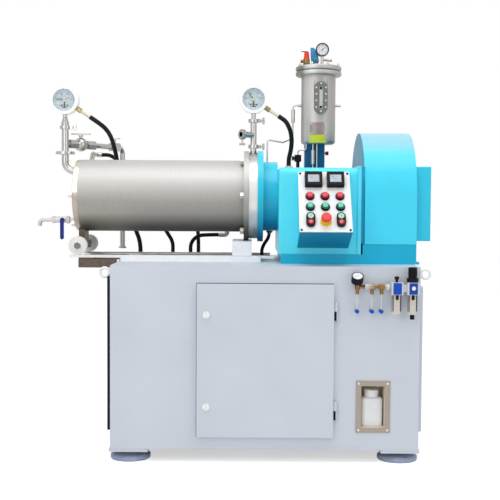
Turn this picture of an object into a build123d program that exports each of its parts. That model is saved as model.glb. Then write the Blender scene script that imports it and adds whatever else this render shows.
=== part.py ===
from build123d import *
import os
from math import cos, pi, radians, sin, sqrt, tan

os.makedirs("parts", exist_ok=True)

# Horizontal bead mill. Millimetres, +Z up, floor at Z = 0.
# The shaft runs along X; the operator stands on the -Y side.

# Clearances
slip = 0.05            # radial gap of fitted and turning pieces
seat_gap = 0.3         # gap between curved faces of different bodies
hole_gap = 0.5         # radial gap of a screw in its hole

# Shaft line and the face where the chamber meets the drive side
shaft_y = 23
shaft_z = 967
face_x = 112

# Cabinet
cabinet_left = -419
cabinet_width = 1116
cabinet_depth = 800
cabinet_bottom = 48
deck_top = 713
sheet = 3
deck_thickness = 8
base_height = 48
base_width = 60
base_wall = 6
post_size = 40
post_wall = 5
panel_thickness = 12
panel_depth = 600
left_panel_bottom, left_panel_top = 112, 672
right_panel_bottom, right_panel_top = 112, 641
rear_panel_width, rear_panel_height = 700, 420
louvre_count = 6
louvre_pitch = 36
louvre_height = 8

cabinet_right = cabinet_left + cabinet_width
cabinet_front = shaft_y - cabinet_depth / 2
cabinet_back = shaft_y + cabinet_depth / 2
base_top = cabinet_bottom + base_height

# Levelling feet
foot_radius = 73.5
foot_pad = 25
foot_plate = 146
foot_plate_thickness = 12
foot_bolt_radius = 10
foot_inset_x = 66
foot_inset_y = 73

# Front door, hinges and locks
door_left = -106
door_bottom = 96
door_width = 492
door_height = 553.5
door_thickness = 18
door_skin = 2.5
door_overlap = 15
hinge_offset = 8
hinge_radius = 6
hinge_pin_radius = 3
hinge_height = 66
hinge_inset = 97
hinge_leaf = 12
lock_radius = 12.5
lock_head = 7
lock_inset_x = 34.5
lock_inset_z = 111
cam_length = 30
cam_width = 16
cam_thickness = 3

# Lifting eyes on the cabinet sides
eye_radius = 16.5
eye_wire = 5
eye_collar_radius = 12
eye_collar = 8
eye_z = 685
eye_inset_y = 40

# Bottle recess, bottle and cap
recess_x = 530.5
recess_bottom = 132
recess_width = 85
recess_height = 150
recess_depth = 112
recess_rim = 19.5
recess_plate = 3
bottle_width = 78
bottle_depth = 60
bottle_height = 104
bottle_neck = 20
cap_radius = 26
cap_height = 26

# Motor, pulleys, belts and guard
motor_z = 296
motor_right = 520
motor_length = 560
motor_radius = 175
motor_wall = 14
rotor_radius = 104
stator_radius = 105
motor_shaft_radius = 27.5
motor_foot_spacing = 318
fin_count = 36
fin_height = 12
fan_cover_length = 100
belt_x = 609
belt_count = 5
belt_pitch = 19
belt_width = 12
belt_height = 12
pulley_side = 10
shaft_pulley_radius = 205
motor_pulley_radius = 102.5
guard_left = 511.5
guard_right = 706
guard_radius = 252
guard_bottom = 788
guard_sheet = 3
side_cover_width = 56
side_cover_bottom = 800
side_cover_top = 1080
side_cover_depth = 450

# Bed, bearing housing and seal neck
bed_left = 200
bed_depth = 500
bed_step_x = 505
bed_low_top = 750
bed_flange = 12
bed_wall = 12
housing_left = 190
housing_right = 498
housing_depth = 490
housing_top = 1074
housing_wall = 22
housing_round = 26
rib_width = 13
rib_rise = 6
neck_radius = 137
neck_flange_radius = 180
neck_flange_width = 22
neck_bore = 62
post_x = 343.5
post_width = 80
post_depth = 70
post_back = 100

# Shaft, bearings and seal
shaft_radius = 40
shaft_nose_radius = 30
shaft_pulley_seat = 32
bearing_radius = 75
bearing_width = 33
bearing_wall = 9
ball_radius = 8
ball_count = 12
bearing_places = (222, 258, 452)
seal_ring_width = 15
seal_ring_radius = 58

# Agitator
disc_count = 9
disc_pitch = 60
disc_radius = 95
disc_thickness = 10
disc_hole_radius = 13
disc_hole_circle = 66
disc_hole_count = 6
spacer_radius = 42
first_disc_gap = 58

# Grinding chamber
feed_ring_width = 35
feed_ring_radius = 168
flange_width = 19
flange_radius = 179
chamber_length = 641.5
barrel_bore = 112
barrel_wall = 8
jacket_radius = 141.5
jacket_wall = 4
end_ring_width = 24
cover_width = 20
cover_radius = 141
bolt_radius = 8
bolt_head = 24
bolt_head_height = 14
flange_bolt_circle = 157
cover_bolt_circle = 129
bolt_count = 6
screen_radius = 50
screen_wall = 3
screen_length = 80
screen_slots = 20
screen_slot = 4

flange_right = face_x - feed_ring_width
flange_left = flange_right - flange_width
cover_right = flange_left - chamber_length
cover_left = cover_right - cover_width

# Slide rails, rollers and supports
rail_y = 127
rail_left = -612.5
rail_right = 177.5
rail_top = 736
rail_width = 30
rail_thickness = 10
rod_radius = 7.5
rod_left = -600
rod_right = 166
roller_radius = 35.5
roller_width = 24
roller_x = -581.5
axle_radius = 8
bracket_width = 24
shoe_left = 14.5
shoe_right = 90
shoe_beam = 24
shoe_foot = 36
guide_width = 50
front_guide_left, front_guide_right = -415, 125
rear_guides = (-390, 40)
arm_left = -577.5
arm_thickness = 32

# Product outlet
outlet_x = -655
outlet_z = 1064
outlet_radius = 14
outlet_bore = 11
outlet_top = 1248
outlet_bend = 34
outlet_disc_radius = 37.5
outlet_disc_z = 1129
branch_z = 1172
branch_angle = 53.4
branch_length = 324
branch_radius = 11
branch_bore = 8
nut_across = 34
valve_along = 84
union_nuts = ((20, 38), (110, 48), (255, 45))
branch_tap_along = 278
branch_tap_height = 34
valve_radius = 19
down_pipe_bottom = 745
handle_length = 80
outlet_clamp_z = 1236

# Drain valve
drain_z = 869
drain_radius = 8
drain_bore = 5
drain_valve_x = -664
drain_spout_tip_z = 844
drain_reach = 765.5
lever_length = 86
lever_width = 15
lever_thickness = 4

# Contact gauges
gauge_radius = 56
gauge_depth = 50
gauge_bezel = 5
dial_radius = 44
dial_recess = 16
pointer_length = 34
outlet_gauge_z = 1342
feed_gauge_z = 1350
gauge_stem = 9
gland_angle = -33
gland_start = 53
gland_nut = 24
gland_nut_radius = 8.5
gland_end = 118
gland_radius = 7
hose_radius = 9

# Feed port on the feed ring
port_radius = 12.5
port_bore = 9.5
port_clamp_low = 1164
port_clamp_high = 1266
clamp_radius = 21
clamp_width = 14
wing_width = 8
inlet_z = 1210
inlet_length = 52
inlet_angle = 219.7
inlet_radius = 12
inlet_bore = 10

# Seal pot
pot_x = 358.5
pot_back = 100
pot_radius = 69.5
pot_wall = 4
pot_bottom = 1180
pot_top = 1456
lid_radius = 93
lid_disc = 19
lid_gap = 1
glass_z = 1363
glass_width = 54
glass_height = 129
glass_depth = 14
glass_slot = 14
glass_slot_height = 92
pot_valve_x = 346
safety_x = 309
pot_gauge_x = 372.5
pot_gauge_z = 1564
pot_gauge_radius = 27
pot_gauge_depth = 26

# Control desk
desk_x = 355.5
desk_width = 191
desk_top_z = 1055
desk_bottom_z = 836
desk_top_reach = 255
desk_bottom_reach = 405
desk_back_z = 773
plate_thickness = 3
meter_width = 64
meter_height = 60
meter_depth = 20
lamp_radius = 16
lamp_height = 16
bezel_width = 33
bezel_height = 57
bezel_depth = 12
button_radius = 11
button_spacing = 25
press_travel = 3
stop_base_radius = 20
stop_base_height = 8
stop_head_radius = 18.5
stop_head_height = 14
stop_stem_radius = 9
stop_travel = 4

# Air preparation unit on the cabinet front
air_top = 661
air_body_height = 44
lubricator_x = 606.5
regulator_x = 663
air_body_width = 44
air_body_depth = 48
bowl_radius = 15.5
bowl_height = 72
collar_radius = 21
knob_radius = 15.5
knob_height = 38
air_gauge_x = 466.5
air_fitting_places = (519, 552.7)
bulkhead_z = 555.6
air_tube_radius = 3
bulkhead_radius = 7

# Hoses held between the machine and the deck
water_radius = 8
jacket_return_back = 232
jacket_feed_back = 254
flange_back = 225
steel_tube = 3
seal_tubes = (335, 351)
gland_cup_radius = 16
gland_cup_height = 14


def facing_x(x, y, z):
    return Plane(origin=(x, y, z), x_dir=(0, 1, 0), z_dir=(1, 0, 0))


def facing_y(x, y, z):
    return Plane(origin=(x, y, z), x_dir=(-1, 0, 0), z_dir=(0, 1, 0))


def facing_front(x, y, z):
    return Plane(origin=(x, y, z), x_dir=(1, 0, 0), z_dir=(0, -1, 0))


def facing_z(x, y, z):
    return Plane(origin=(x, y, z))


def toward(point, direction):
    return Plane(origin=point, z_dir=direction)


# A round bar or ring standing on a plane
def bar(plane, radius, length, bore=0, mode=Mode.ADD):
    with BuildSketch(plane) as face:
        Circle(radius)
        if bore:
            Circle(bore, mode=Mode.SUBTRACT)
    extrude(face.sketch, amount=length, mode=mode)


# A hexagon standing on a plane
def hexagon(plane, across, length, bore=0):
    with BuildSketch(plane) as face:
        RegularPolygon(across / 2, 6, major_radius=False)
        if bore:
            Circle(bore, mode=Mode.SUBTRACT)
    extrude(face.sketch, amount=length)


# A rectangle standing centred on a plane, with rounded corners where asked
def plate(plane, width, height, thickness, corner=0, mode=Mode.ADD):
    with BuildSketch(plane) as face:
        if corner:
            RectangleRounded(width, height, corner)
        else:
            Rectangle(width, height)
    extrude(face.sketch, amount=thickness, mode=mode)


# A box between two corners
def block(x0, x1, y0, y1, z0, z1, mode=Mode.ADD):
    with BuildSketch(facing_z((x0 + x1) / 2, (y0 + y1) / 2, z0)) as face:
        Rectangle(x1 - x0, y1 - y0)
    extrude(face.sketch, amount=z1 - z0, mode=mode)


# A pipe along straight runs joined by arcs
def pipe(points, bends, radius, bore=0):
    with BuildLine() as route:
        FilletPolyline(*points, radius=bends)
    with BuildSketch(toward(route.line @ 0, route.line % 0)) as face:
        Circle(radius)
        if bore:
            Circle(bore, mode=Mode.SUBTRACT)
    sweep(face.sketch, path=route.line)


# The bends of a hose: as large as the runs beside each corner allow
def hose_bends(points):
    bends = []
    for before, corner, after in zip(points, points[1:], points[2:]):
        run_in = Vector(corner) - Vector(before)
        run_out = Vector(after) - Vector(corner)
        shorter = min(run_in.length, run_out.length)
        turn = radians(run_in.get_angle(run_out))
        bends.append(0.45 * shorter / tan(turn / 2))
    return bends


def hose(points, radius):
    bends = hose_bends(points)
    print("hose bends", [round(bend) for bend in bends], "for radius", radius)
    pipe(points, bends, radius)


# A tri-clamp round a pipe, its wing nut to the right
def tri_clamp(x, y, z):
    bar(facing_z(x, y, z - clamp_width / 2), clamp_radius, clamp_width)
    plate(facing_x(x + clamp_radius - 4, y, z), 16, clamp_width, 14)
    bar(facing_x(x + clamp_radius - 4, y, z), 3, 28)
    plate(facing_x(x + clamp_radius + 14, y, z), wing_width, 26, 9)


# A contact gauge facing the front: case with a dial recess, and its side gland
def gauge_case(x, y, z):
    front = y - gauge_depth * 0.6
    bar(facing_y(x, front, z), gauge_radius, gauge_depth)
    bar(facing_y(x, front + gauge_depth, z), gauge_radius * 0.8, gauge_bezel)
    bar(facing_y(x, front, z), dial_radius, dial_recess, mode=Mode.SUBTRACT)
    angle = radians(gland_angle)
    way = Vector(cos(angle), 0, sin(angle))
    nut_start = Vector(x, y, z) + way * gland_start
    hexagon(toward(nut_start, way), 2 * gland_nut_radius, gland_nut)
    bar(toward(nut_start + way * gland_nut, way), gland_radius, gland_end - gland_start - gland_nut)


def gland_tip(x, y, z):
    angle = radians(gland_angle)
    return Vector(x, y, z) + Vector(cos(angle), 0, sin(angle)) * gland_end


def gauge_glass(x, y, z):
    bar(facing_y(x, y - gauge_depth * 0.6 + 1, z), dial_radius - slip, 2)


# A gauge pointer with its hub, just off the dial
def gauge_pointer(x, y, z, length, angle):
    way = radians(angle)
    back = y - gauge_depth * 0.6 + dial_recess
    plane = Plane(origin=(x, back - 1, z), x_dir=(cos(way), 0, sin(way)), z_dir=(0, -1, 0))
    with BuildSketch(plane) as needle:
        Circle(4)
        with BuildLine():
            Polyline((0, 2), (length, 0.5), (length, -0.5), (0, -2), close=True)
        make_face()
    extrude(needle.sketch, amount=2)
    bar(Plane(origin=(x, back - seat_gap, z), z_dir=(0, -1, 0)), 6, 7)


cabinet_mid_x = (cabinet_left + cabinet_right) / 2

# Welded frame: base channel, cross members for the motor, corner posts and the deck
inner_left, inner_right = cabinet_left + sheet, cabinet_right - sheet
inner_front, inner_back = cabinet_front + sheet, cabinet_back - sheet
belt_slot_left = bed_step_x + bed_wall
belt_slot_right = guard_right - bed_wall
belt_slot_half = bed_depth / 2 - bed_wall
deck_bottom = deck_top - deck_thickness
motor_feet_x = (motor_right - motor_length + 110, motor_right - 110)
eye_places = [(x, way, y)
              for x, way in ((cabinet_left, -1), (cabinet_right, 1))
              for y in (cabinet_front + eye_inset_y, cabinet_back - eye_inset_y)]
eye_stud_radius = 6
with BuildPart() as cabinet_frame:
    block(inner_left, inner_right, inner_front, inner_back, cabinet_bottom, base_top)
    block(inner_left + base_width, inner_right - base_width, inner_front + base_width,
          inner_back - base_width, cabinet_bottom, base_top, mode=Mode.SUBTRACT)
    for x in motor_feet_x:
        block(x - 45, x + 45, inner_front + 10, inner_back - 10, base_top - 20, base_top)
    with BuildSketch(facing_z(cabinet_mid_x, shaft_y, cabinet_bottom)) as channel:
        Rectangle(inner_right - inner_left - 2 * base_wall, inner_back - inner_front - 2 * base_wall)
        Rectangle(inner_right - inner_left - 2 * (base_width - base_wall),
                  inner_back - inner_front - 2 * (base_width - base_wall), mode=Mode.SUBTRACT)
    extrude(channel.sketch, amount=base_height - base_wall, mode=Mode.SUBTRACT)
    for x0, x1, arm_x in ((inner_left, inner_left + post_size, inner_left),
                          (inner_right - post_size, inner_right, inner_right - post_wall)):
        for y0, y1, arm_y in ((inner_front, inner_front + post_size, inner_front),
                              (inner_back - post_size, inner_back, inner_back - post_wall)):
            block(x0, x1, arm_y, arm_y + post_wall, base_top, deck_bottom)
            block(arm_x, arm_x + post_wall, y0, y1, base_top, deck_bottom)
    block(inner_left, inner_right, inner_front, inner_back, deck_bottom, deck_top)
    block(belt_slot_left, belt_slot_right, shaft_y - belt_slot_half, shaft_y + belt_slot_half,
          deck_bottom, deck_top, mode=Mode.SUBTRACT)
    for x, way, y in eye_places:
        start = min(x, x - way * (sheet + post_wall + 1))
        bar(facing_x(start, y, eye_z), eye_stud_radius + hole_gap, sheet + post_wall + 1, mode=Mode.SUBTRACT)
cabinet_frame.part.label = "cabinet_frame"
export_step(cabinet_frame.part, "parts/cabinet_frame.step")

# Sheet shell with the door opening, the recess opening and the air vent behind the rear panel
door_right = door_left + door_width
door_top = door_bottom + door_height
with BuildPart() as cabinet_shell:
    block(cabinet_left, cabinet_right, cabinet_front, cabinet_back, cabinet_bottom, deck_top)
    block(inner_left, inner_right, inner_front, inner_back, cabinet_bottom, deck_top, mode=Mode.SUBTRACT)
    block(door_left + door_overlap, door_right - door_overlap, cabinet_front, inner_front,
          door_bottom + door_overlap, door_top - door_overlap, mode=Mode.SUBTRACT)
    lip = recess_plate + slip
    block(recess_x - recess_width / 2 - lip, recess_x + recess_width / 2 + lip, cabinet_front, inner_front,
          recess_bottom - lip, recess_bottom + recess_height + lip, mode=Mode.SUBTRACT)
    plate(facing_y(cabinet_mid_x, inner_back, 380), rear_panel_width - 60, rear_panel_height - 60, sheet,
          mode=Mode.SUBTRACT)
    for x, way, y in eye_places:
        bar(facing_x(x - sheet, y, eye_z), eye_stud_radius + hole_gap, 2 * sheet, mode=Mode.SUBTRACT)
    edges = cabinet_shell.edges().filter_by(Axis.Z).group_by(SortBy.LENGTH)[-1]
    outer = [e for e in edges if abs(e.center().X - cabinet_mid_x) > cabinet_width / 2 - 1]
    fillet(outer, 2.5)
cabinet_shell.part.label = "cabinet_shell"
export_step(cabinet_shell.part, "parts/cabinet_shell.step")

# Service panels: left, right and a louvred rear one, each a folded pan with its open side inwards
with BuildPart() as service_panels:
    for x, way, bottom, top in ((cabinet_left, -1, left_panel_bottom, left_panel_top),
                                (cabinet_right, 1, right_panel_bottom, right_panel_top)):
        middle = (bottom + top) / 2
        plane = Plane(origin=(x, shaft_y, middle), x_dir=(0, 1, 0), z_dir=(way, 0, 0))
        plate(plane, panel_depth, top - bottom, panel_thickness, corner=6)
        plate(plane, panel_depth - 2 * sheet, top - bottom - 2 * sheet, panel_thickness - sheet,
              corner=4, mode=Mode.SUBTRACT)
    rear = facing_y(cabinet_mid_x, cabinet_back, 380)
    plate(rear, rear_panel_width, rear_panel_height, panel_thickness, corner=6)
    plate(rear, rear_panel_width - 2 * sheet, rear_panel_height - 2 * sheet, panel_thickness - sheet,
          corner=4, mode=Mode.SUBTRACT)
    for column in (-1, 1):
        for row in range(louvre_count):
            z = 380 + (row - (louvre_count - 1) / 2) * louvre_pitch
            plate(facing_y(cabinet_mid_x + column * 150, cabinet_back, z), 220, louvre_height,
                  panel_thickness, mode=Mode.SUBTRACT)
service_panels.part.label = "service_panels"
export_step(service_panels.part, "parts/service_panels.step")

# Levelling feet: a pad, a bolt with its nut, and a plate under the base at each corner
foot_places = [(x, y)
               for x in (cabinet_left + foot_inset_x, cabinet_right - foot_inset_x)
               for y in (cabinet_front + foot_inset_y, cabinet_back - foot_inset_y)]
with BuildPart() as levelling_feet:
    for x, y in foot_places:
        with BuildSketch(Plane(origin=(x, y, 0), x_dir=(1, 0, 0), z_dir=(0, -1, 0))) as section:
            with BuildLine():
                Polyline((0, 0), (foot_radius - 2, 0), (foot_radius, 3), (foot_radius, 13),
                         (foot_radius - 8, 18), (30, foot_pad), (0, foot_pad), close=True)
            make_face()
        revolve(section.sketch, axis=Axis((x, y, 0), (0, 0, 1)))
        bar(facing_z(x, y, foot_pad), foot_bolt_radius, cabinet_bottom - foot_pad)
        plate(facing_z(x, y, cabinet_bottom - foot_plate_thickness), foot_plate - 4, foot_plate - 4,
              foot_plate_thickness, corner=6)
levelling_feet.part.label = "levelling_feet"
export_step(levelling_feet.part, "parts/levelling_feet.step")

# Lifting eyes on the cabinet sides, their studs through the shell
with BuildPart() as lifting_eyes:
    for x, way, y in eye_places:
        ring_x = x + way * (eye_collar + eye_radius)
        with BuildSketch(Plane(origin=(ring_x, y, eye_z), x_dir=(1, 0, 0), z_dir=(0, 0, 1))) as wire:
            with Locations((eye_radius, 0)):
                Circle(eye_wire)
        revolve(wire.sketch, axis=Axis((ring_x, y, eye_z), (0, 1, 0)))
        side = Plane(origin=(x, y, eye_z), x_dir=(0, 1, 0), z_dir=(way, 0, 0))
        bar(side, eye_collar_radius, eye_collar - eye_wire + 1)
        inward = Plane(origin=(x, y, eye_z), x_dir=(0, 1, 0), z_dir=(-way, 0, 0))
        bar(inward, eye_stud_radius, sheet + 3)
lifting_eyes.part.label = "lifting_eyes"
export_step(lifting_eyes.part, "parts/lifting_eyes.step")

# Front door: a pan open at the back, with the moving hinge halves and the lock holes
hinge_x = door_right + hinge_offset
hinge_y = cabinet_front - door_thickness / 2
hinge_places = (door_bottom + hinge_inset, door_top - hinge_inset)
lock_x = door_left + lock_inset_x
lock_places = (door_bottom + lock_inset_z, door_top - lock_inset_z)
door_mid_x, door_mid_z = door_left + door_width / 2, door_bottom + door_height / 2
with BuildPart() as front_door:
    plate(facing_front(door_mid_x, cabinet_front, door_mid_z), door_width, door_height, door_thickness)
    plate(facing_front(door_mid_x, cabinet_front, door_mid_z), door_width - 2 * door_skin,
          door_height - 2 * door_skin, door_thickness - door_skin, mode=Mode.SUBTRACT)
    block(door_mid_x - 30, door_mid_x + 30, cabinet_front - door_thickness + door_skin,
          cabinet_front - door_skin, door_bottom + door_skin, door_top - door_skin)
    block(door_mid_x - 27, door_mid_x + 27, cabinet_front - door_thickness + door_skin,
          cabinet_front - 2 * door_skin, door_bottom + door_skin, door_top - door_skin, mode=Mode.SUBTRACT)
    for z in lock_places:
        bar(facing_front(lock_x, cabinet_front, z), lock_radius - 3 + slip, door_thickness,
            mode=Mode.SUBTRACT)
    for z in hinge_places:
        bar(facing_z(hinge_x, hinge_y, z + seat_gap / 2), hinge_radius, hinge_height / 2)
        block(door_right, hinge_x, hinge_y - 1.5, hinge_y + 1.5, z + seat_gap / 2,
              z + seat_gap / 2 + hinge_height / 2)
        bar(facing_z(hinge_x, hinge_y, z + seat_gap / 2), hinge_pin_radius + slip, hinge_height / 2 - 3,
            mode=Mode.SUBTRACT)
front_door.part.label = "front_door"
export_step(front_door.part, "parts/front_door.step")

# Fixed hinge halves with their pins
with BuildPart() as door_hinges:
    for z in hinge_places:
        low = z - seat_gap / 2 - hinge_height / 2
        bar(facing_z(hinge_x, hinge_y, low), hinge_radius, hinge_height / 2)
        block(hinge_x - 3, hinge_x + 3, hinge_y, cabinet_front, low, low + hinge_height / 2)
        block(hinge_x - 3, hinge_x + hinge_leaf, cabinet_front - 3, cabinet_front, low,
              low + hinge_height / 2)
        bar(facing_z(hinge_x, hinge_y, low + hinge_height / 2), hinge_pin_radius, hinge_height / 2 - 4)
door_hinges.part.label = "door_hinges"
export_step(door_hinges.part, "parts/door_hinges.step")


# Quarter-turn lock: head with a coin slot, barrel through the door and a cam behind the shell
def door_lock(z):
    front = cabinet_front - door_thickness
    bar(facing_front(lock_x, front, z), lock_radius, lock_head)
    plate(facing_front(lock_x, front - lock_head + 3, z), 3, 2 * lock_radius - 6, 3, mode=Mode.SUBTRACT)
    bar(facing_y(lock_x, front, z), lock_radius - 3, door_thickness + sheet + 1)
    plate(facing_y(lock_x, inner_front + 1, z), cam_width, cam_width, cam_thickness)
    plate(facing_y(lock_x, inner_front + 1, z + cam_length / 2), cam_width, cam_length, cam_thickness)


with BuildPart() as door_lock_upper:
    door_lock(lock_places[1])
door_lock_upper.part.label = "door_lock_upper"
export_step(door_lock_upper.part, "parts/door_lock_upper.step")

with BuildPart() as door_lock_lower:
    door_lock(lock_places[0])
door_lock_lower.part.label = "door_lock_lower"
export_step(door_lock_lower.part, "parts/door_lock_lower.step")

# Bottle recess: a stainless rim and a box set into the cabinet front
recess_z = recess_bottom + recess_height / 2
with BuildPart() as bottle_recess:
    plate(facing_front(recess_x, cabinet_front, recess_z), recess_width + 2 * recess_rim,
          recess_height + 2 * recess_rim, recess_plate)
    plate(facing_y(recess_x, cabinet_front, recess_z), recess_width + 2 * recess_plate,
          recess_height + 2 * recess_plate, recess_depth)
    plate(facing_y(recess_x, cabinet_front - recess_plate, recess_z), recess_width, recess_height,
          recess_depth, mode=Mode.SUBTRACT)
    for dx in (-1, 1):
        for dz in (-1, 1):
            x = recess_x + dx * (recess_width + recess_rim) / 2
            z = recess_z + dz * (recess_height + recess_rim) / 2
            bar(facing_front(x, cabinet_front - recess_plate, z), 4, 2)
bottle_recess.part.label = "bottle_recess"
export_step(bottle_recess.part, "parts/bottle_recess.step")

bottle_y = cabinet_front + recess_depth / 2 - 8
with BuildPart() as bottle:
    plate(facing_z(recess_x, bottle_y, recess_bottom), bottle_width, bottle_depth, bottle_height, corner=16)
    fillet(bottle.edges().group_by(Axis.Z)[-1], 12)
    fillet(bottle.edges().group_by(Axis.Z)[0], 4)
    bar(facing_z(recess_x, bottle_y, recess_bottom + bottle_height), cap_radius - 4, bottle_neck)
    bar(facing_z(recess_x, bottle_y, recess_bottom + bottle_height), cap_radius - 7, bottle_neck,
        mode=Mode.SUBTRACT)
bottle.part.label = "bottle"
export_step(bottle.part, "parts/bottle.step")

with BuildPart() as bottle_cap:
    bar(facing_z(recess_x, bottle_y, recess_bottom + bottle_height + seat_gap), cap_radius, cap_height)
    bar(facing_z(recess_x, bottle_y, recess_bottom + bottle_height + seat_gap), cap_radius - 4 + slip,
        bottle_neck, mode=Mode.SUBTRACT)
    fillet(bottle_cap.edges().group_by(Axis.Z)[-1], 2)
bottle_cap.part.label = "bottle_cap"
export_step(bottle_cap.part, "parts/bottle_cap.step")

# Motor: ribbed frame with feet, stator core, end shields, fan cover and terminal box
motor_left = motor_right - motor_length
motor_bore = motor_radius - motor_wall
shield = 16
with BuildPart() as motor_housing:
    bar(facing_x(motor_left, shaft_y, motor_z), motor_radius, motor_length, motor_bore)
    with BuildSketch(facing_x(motor_left + 30, shaft_y, motor_z)) as fins:
        with PolarLocations(motor_radius + fin_height / 2 - 1, fin_count):
            Rectangle(fin_height + 2, 4)
    extrude(fins.sketch, amount=motor_length - 60)
    for x in motor_feet_x:
        for side in (-1, 1):
            block(x - 35, x + 35, shaft_y + side * motor_foot_spacing / 2 - 35,
                  shaft_y + side * motor_foot_spacing / 2 + 35, base_top, base_top + 22)
            block(x - 12, x + 12, shaft_y + side * 130 - 25, shaft_y + side * 130 + 25,
                  base_top + 22, motor_z - 90)
    block(motor_left + 200, motor_left + 340, shaft_y - 70, shaft_y + 70, motor_z + 140,
          motor_z + motor_radius + 70)
    bar(facing_x(motor_left, shaft_y, motor_z), motor_bore, motor_length, mode=Mode.SUBTRACT)
    bar(facing_x(motor_left + 100, shaft_y, motor_z), motor_bore - slip, motor_length - 200, stator_radius)
    for x, way in ((motor_left, -1), (motor_right, 1)):
        bar(Plane(origin=(x + way * slip, shaft_y, motor_z), z_dir=(way, 0, 0)), motor_radius - 2, shield,
            motor_shaft_radius + slip)
    fan_start = motor_left - shield - 2 * slip
    cover_start = motor_left - 6
    bar(Plane(origin=(cover_start, shaft_y, motor_z), z_dir=(-1, 0, 0)), motor_radius + 2,
        fan_cover_length, motor_radius - 2 + slip)
    bar(Plane(origin=(cover_start - fan_cover_length, shaft_y, motor_z), z_dir=(-1, 0, 0)),
        motor_radius + 2, 3, 60)
motor_housing.part.label = "motor_housing"
export_step(motor_housing.part, "parts/motor_housing.step")


# A grooved belt pulley centred on the belt plane
def pulley(z, radius, bore):
    width = belt_count * belt_pitch + pulley_side
    bar(facing_x(belt_x - width / 2, shaft_y, z), radius, width, bore)
    for place in range(belt_count):
        x = belt_x + (place - (belt_count - 1) / 2) * belt_pitch
        bar(facing_x(x - belt_width / 2 - hole_gap, shaft_y, z), radius + 1, belt_width + 2 * hole_gap,
            radius - belt_height - 2, mode=Mode.SUBTRACT)


with BuildPart() as motor_rotor:
    bar(facing_x(fan_start - 40, shaft_y, motor_z), motor_shaft_radius, motor_right + 150 - fan_start + 40)
    bar(facing_x(motor_left + 100, shaft_y, motor_z), rotor_radius, motor_length - 200)
    bar(facing_x(fan_start - 60, shaft_y, motor_z), 60, 20)
    with BuildSketch(facing_x(fan_start - 60, shaft_y, motor_z)) as blades:
        with PolarLocations(100, 8):
            Rectangle(100, 6)
    extrude(blades.sketch, amount=35)
    pulley(motor_z, motor_pulley_radius, motor_shaft_radius - 1)
motor_rotor.part.label = "motor_rotor"
export_step(motor_rotor.part, "parts/motor_rotor.step")

with BuildPart() as shaft_pulley:
    pulley(shaft_z, shaft_pulley_radius, shaft_pulley_seat + slip)
    width = belt_count * belt_pitch + pulley_side
    for side in (-1, 1):
        bar(Plane(origin=(belt_x + side * width / 2, shaft_y, shaft_z), z_dir=(-side, 0, 0)),
            shaft_pulley_radius - 40, width / 2 - 10, 60, mode=Mode.SUBTRACT)
    with BuildSketch(facing_x(belt_x - 12, shaft_y, shaft_z)) as holes:
        with PolarLocations(112, 5):
            Circle(32)
    extrude(holes.sketch, amount=24, mode=Mode.SUBTRACT)
shaft_pulley.part.label = "shaft_pulley"
export_step(shaft_pulley.part, "parts/shaft_pulley.step")


# The outline of a belt at a given depth: two circles and their common tangents
def belt_face(x, depth):
    with BuildSketch(facing_x(x, shaft_y, motor_z)) as face:
        Circle(motor_pulley_radius - depth)
        with Locations((0, shaft_z - motor_z)):
            Circle(shaft_pulley_radius - depth)
        make_hull()
    return face.sketch


with BuildPart() as drive_belts:
    for place in range(belt_count):
        x = belt_x + (place - (belt_count - 1) / 2) * belt_pitch - belt_width / 2
        extrude(belt_face(x, 2), amount=belt_width)
        extrude(belt_face(x, belt_height + 2 - seat_gap), amount=belt_width, mode=Mode.SUBTRACT)
drive_belts.part.label = "drive_belts"
export_step(drive_belts.part, "parts/drive_belts.step")


# The guard's side outline: a half round on straight skirts
def arch(plane, radius, bottom):
    with BuildSketch(plane) as face:
        Circle(radius)
        with Locations((0, -radius)):
            Rectangle(2 * radius, 2 * radius, mode=Mode.SUBTRACT)
        with Locations((0, (bottom - shaft_z) / 2)):
            Rectangle(2 * radius, shaft_z - bottom)
    return face.sketch


# Belt guard with its shaft hole, and the side cover on its right face
with BuildPart() as belt_guard:
    extrude(arch(facing_x(guard_left, shaft_y, shaft_z), guard_radius, guard_bottom),
            amount=guard_right - guard_left)
    extrude(arch(facing_x(guard_left + guard_sheet, shaft_y, shaft_z), guard_radius - guard_sheet,
                 guard_bottom), amount=guard_right - guard_left - 2 * guard_sheet, mode=Mode.SUBTRACT)
    bar(facing_x(guard_left, shaft_y, shaft_z), 60, guard_sheet, mode=Mode.SUBTRACT)
    bar(facing_x(guard_right - guard_sheet, shaft_y, shaft_z), 90, guard_sheet, mode=Mode.SUBTRACT)
    cover_mid = (side_cover_bottom + side_cover_top) / 2
    cover_height = side_cover_top - side_cover_bottom
    plate(facing_x(guard_right + slip, shaft_y, cover_mid), side_cover_depth, cover_height,
          side_cover_width, corner=6)
    plate(facing_x(guard_right + slip, shaft_y, cover_mid), side_cover_depth - 2 * guard_sheet,
          cover_height - 2 * guard_sheet, side_cover_width - guard_sheet, corner=4, mode=Mode.SUBTRACT)
belt_guard.part.label = "belt_guard"
export_step(belt_guard.part, "parts/belt_guard.step")

# Bed: low part under the housing, high part under the guard, hollow below
bed_front, bed_back = shaft_y - bed_depth / 2, shaft_y + bed_depth / 2
with BuildPart() as machine_bed:
    block(bed_left, bed_step_x, bed_front, bed_back, deck_top, bed_low_top)
    block(bed_step_x, guard_right, bed_front, bed_back, deck_top, guard_bottom)
    block(bed_step_x, guard_right + bed_flange, bed_front, bed_back, deck_top, deck_top + 9)
    block(bed_left + bed_wall, bed_step_x, bed_front + bed_wall, bed_back - bed_wall, deck_top,
          bed_low_top - bed_wall, mode=Mode.SUBTRACT)
    block(belt_slot_left, belt_slot_right, shaft_y - belt_slot_half, shaft_y + belt_slot_half,
          deck_top, guard_bottom, mode=Mode.SUBTRACT)
machine_bed.part.label = "machine_bed"
export_step(machine_bed.part, "parts/machine_bed.step")

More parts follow.
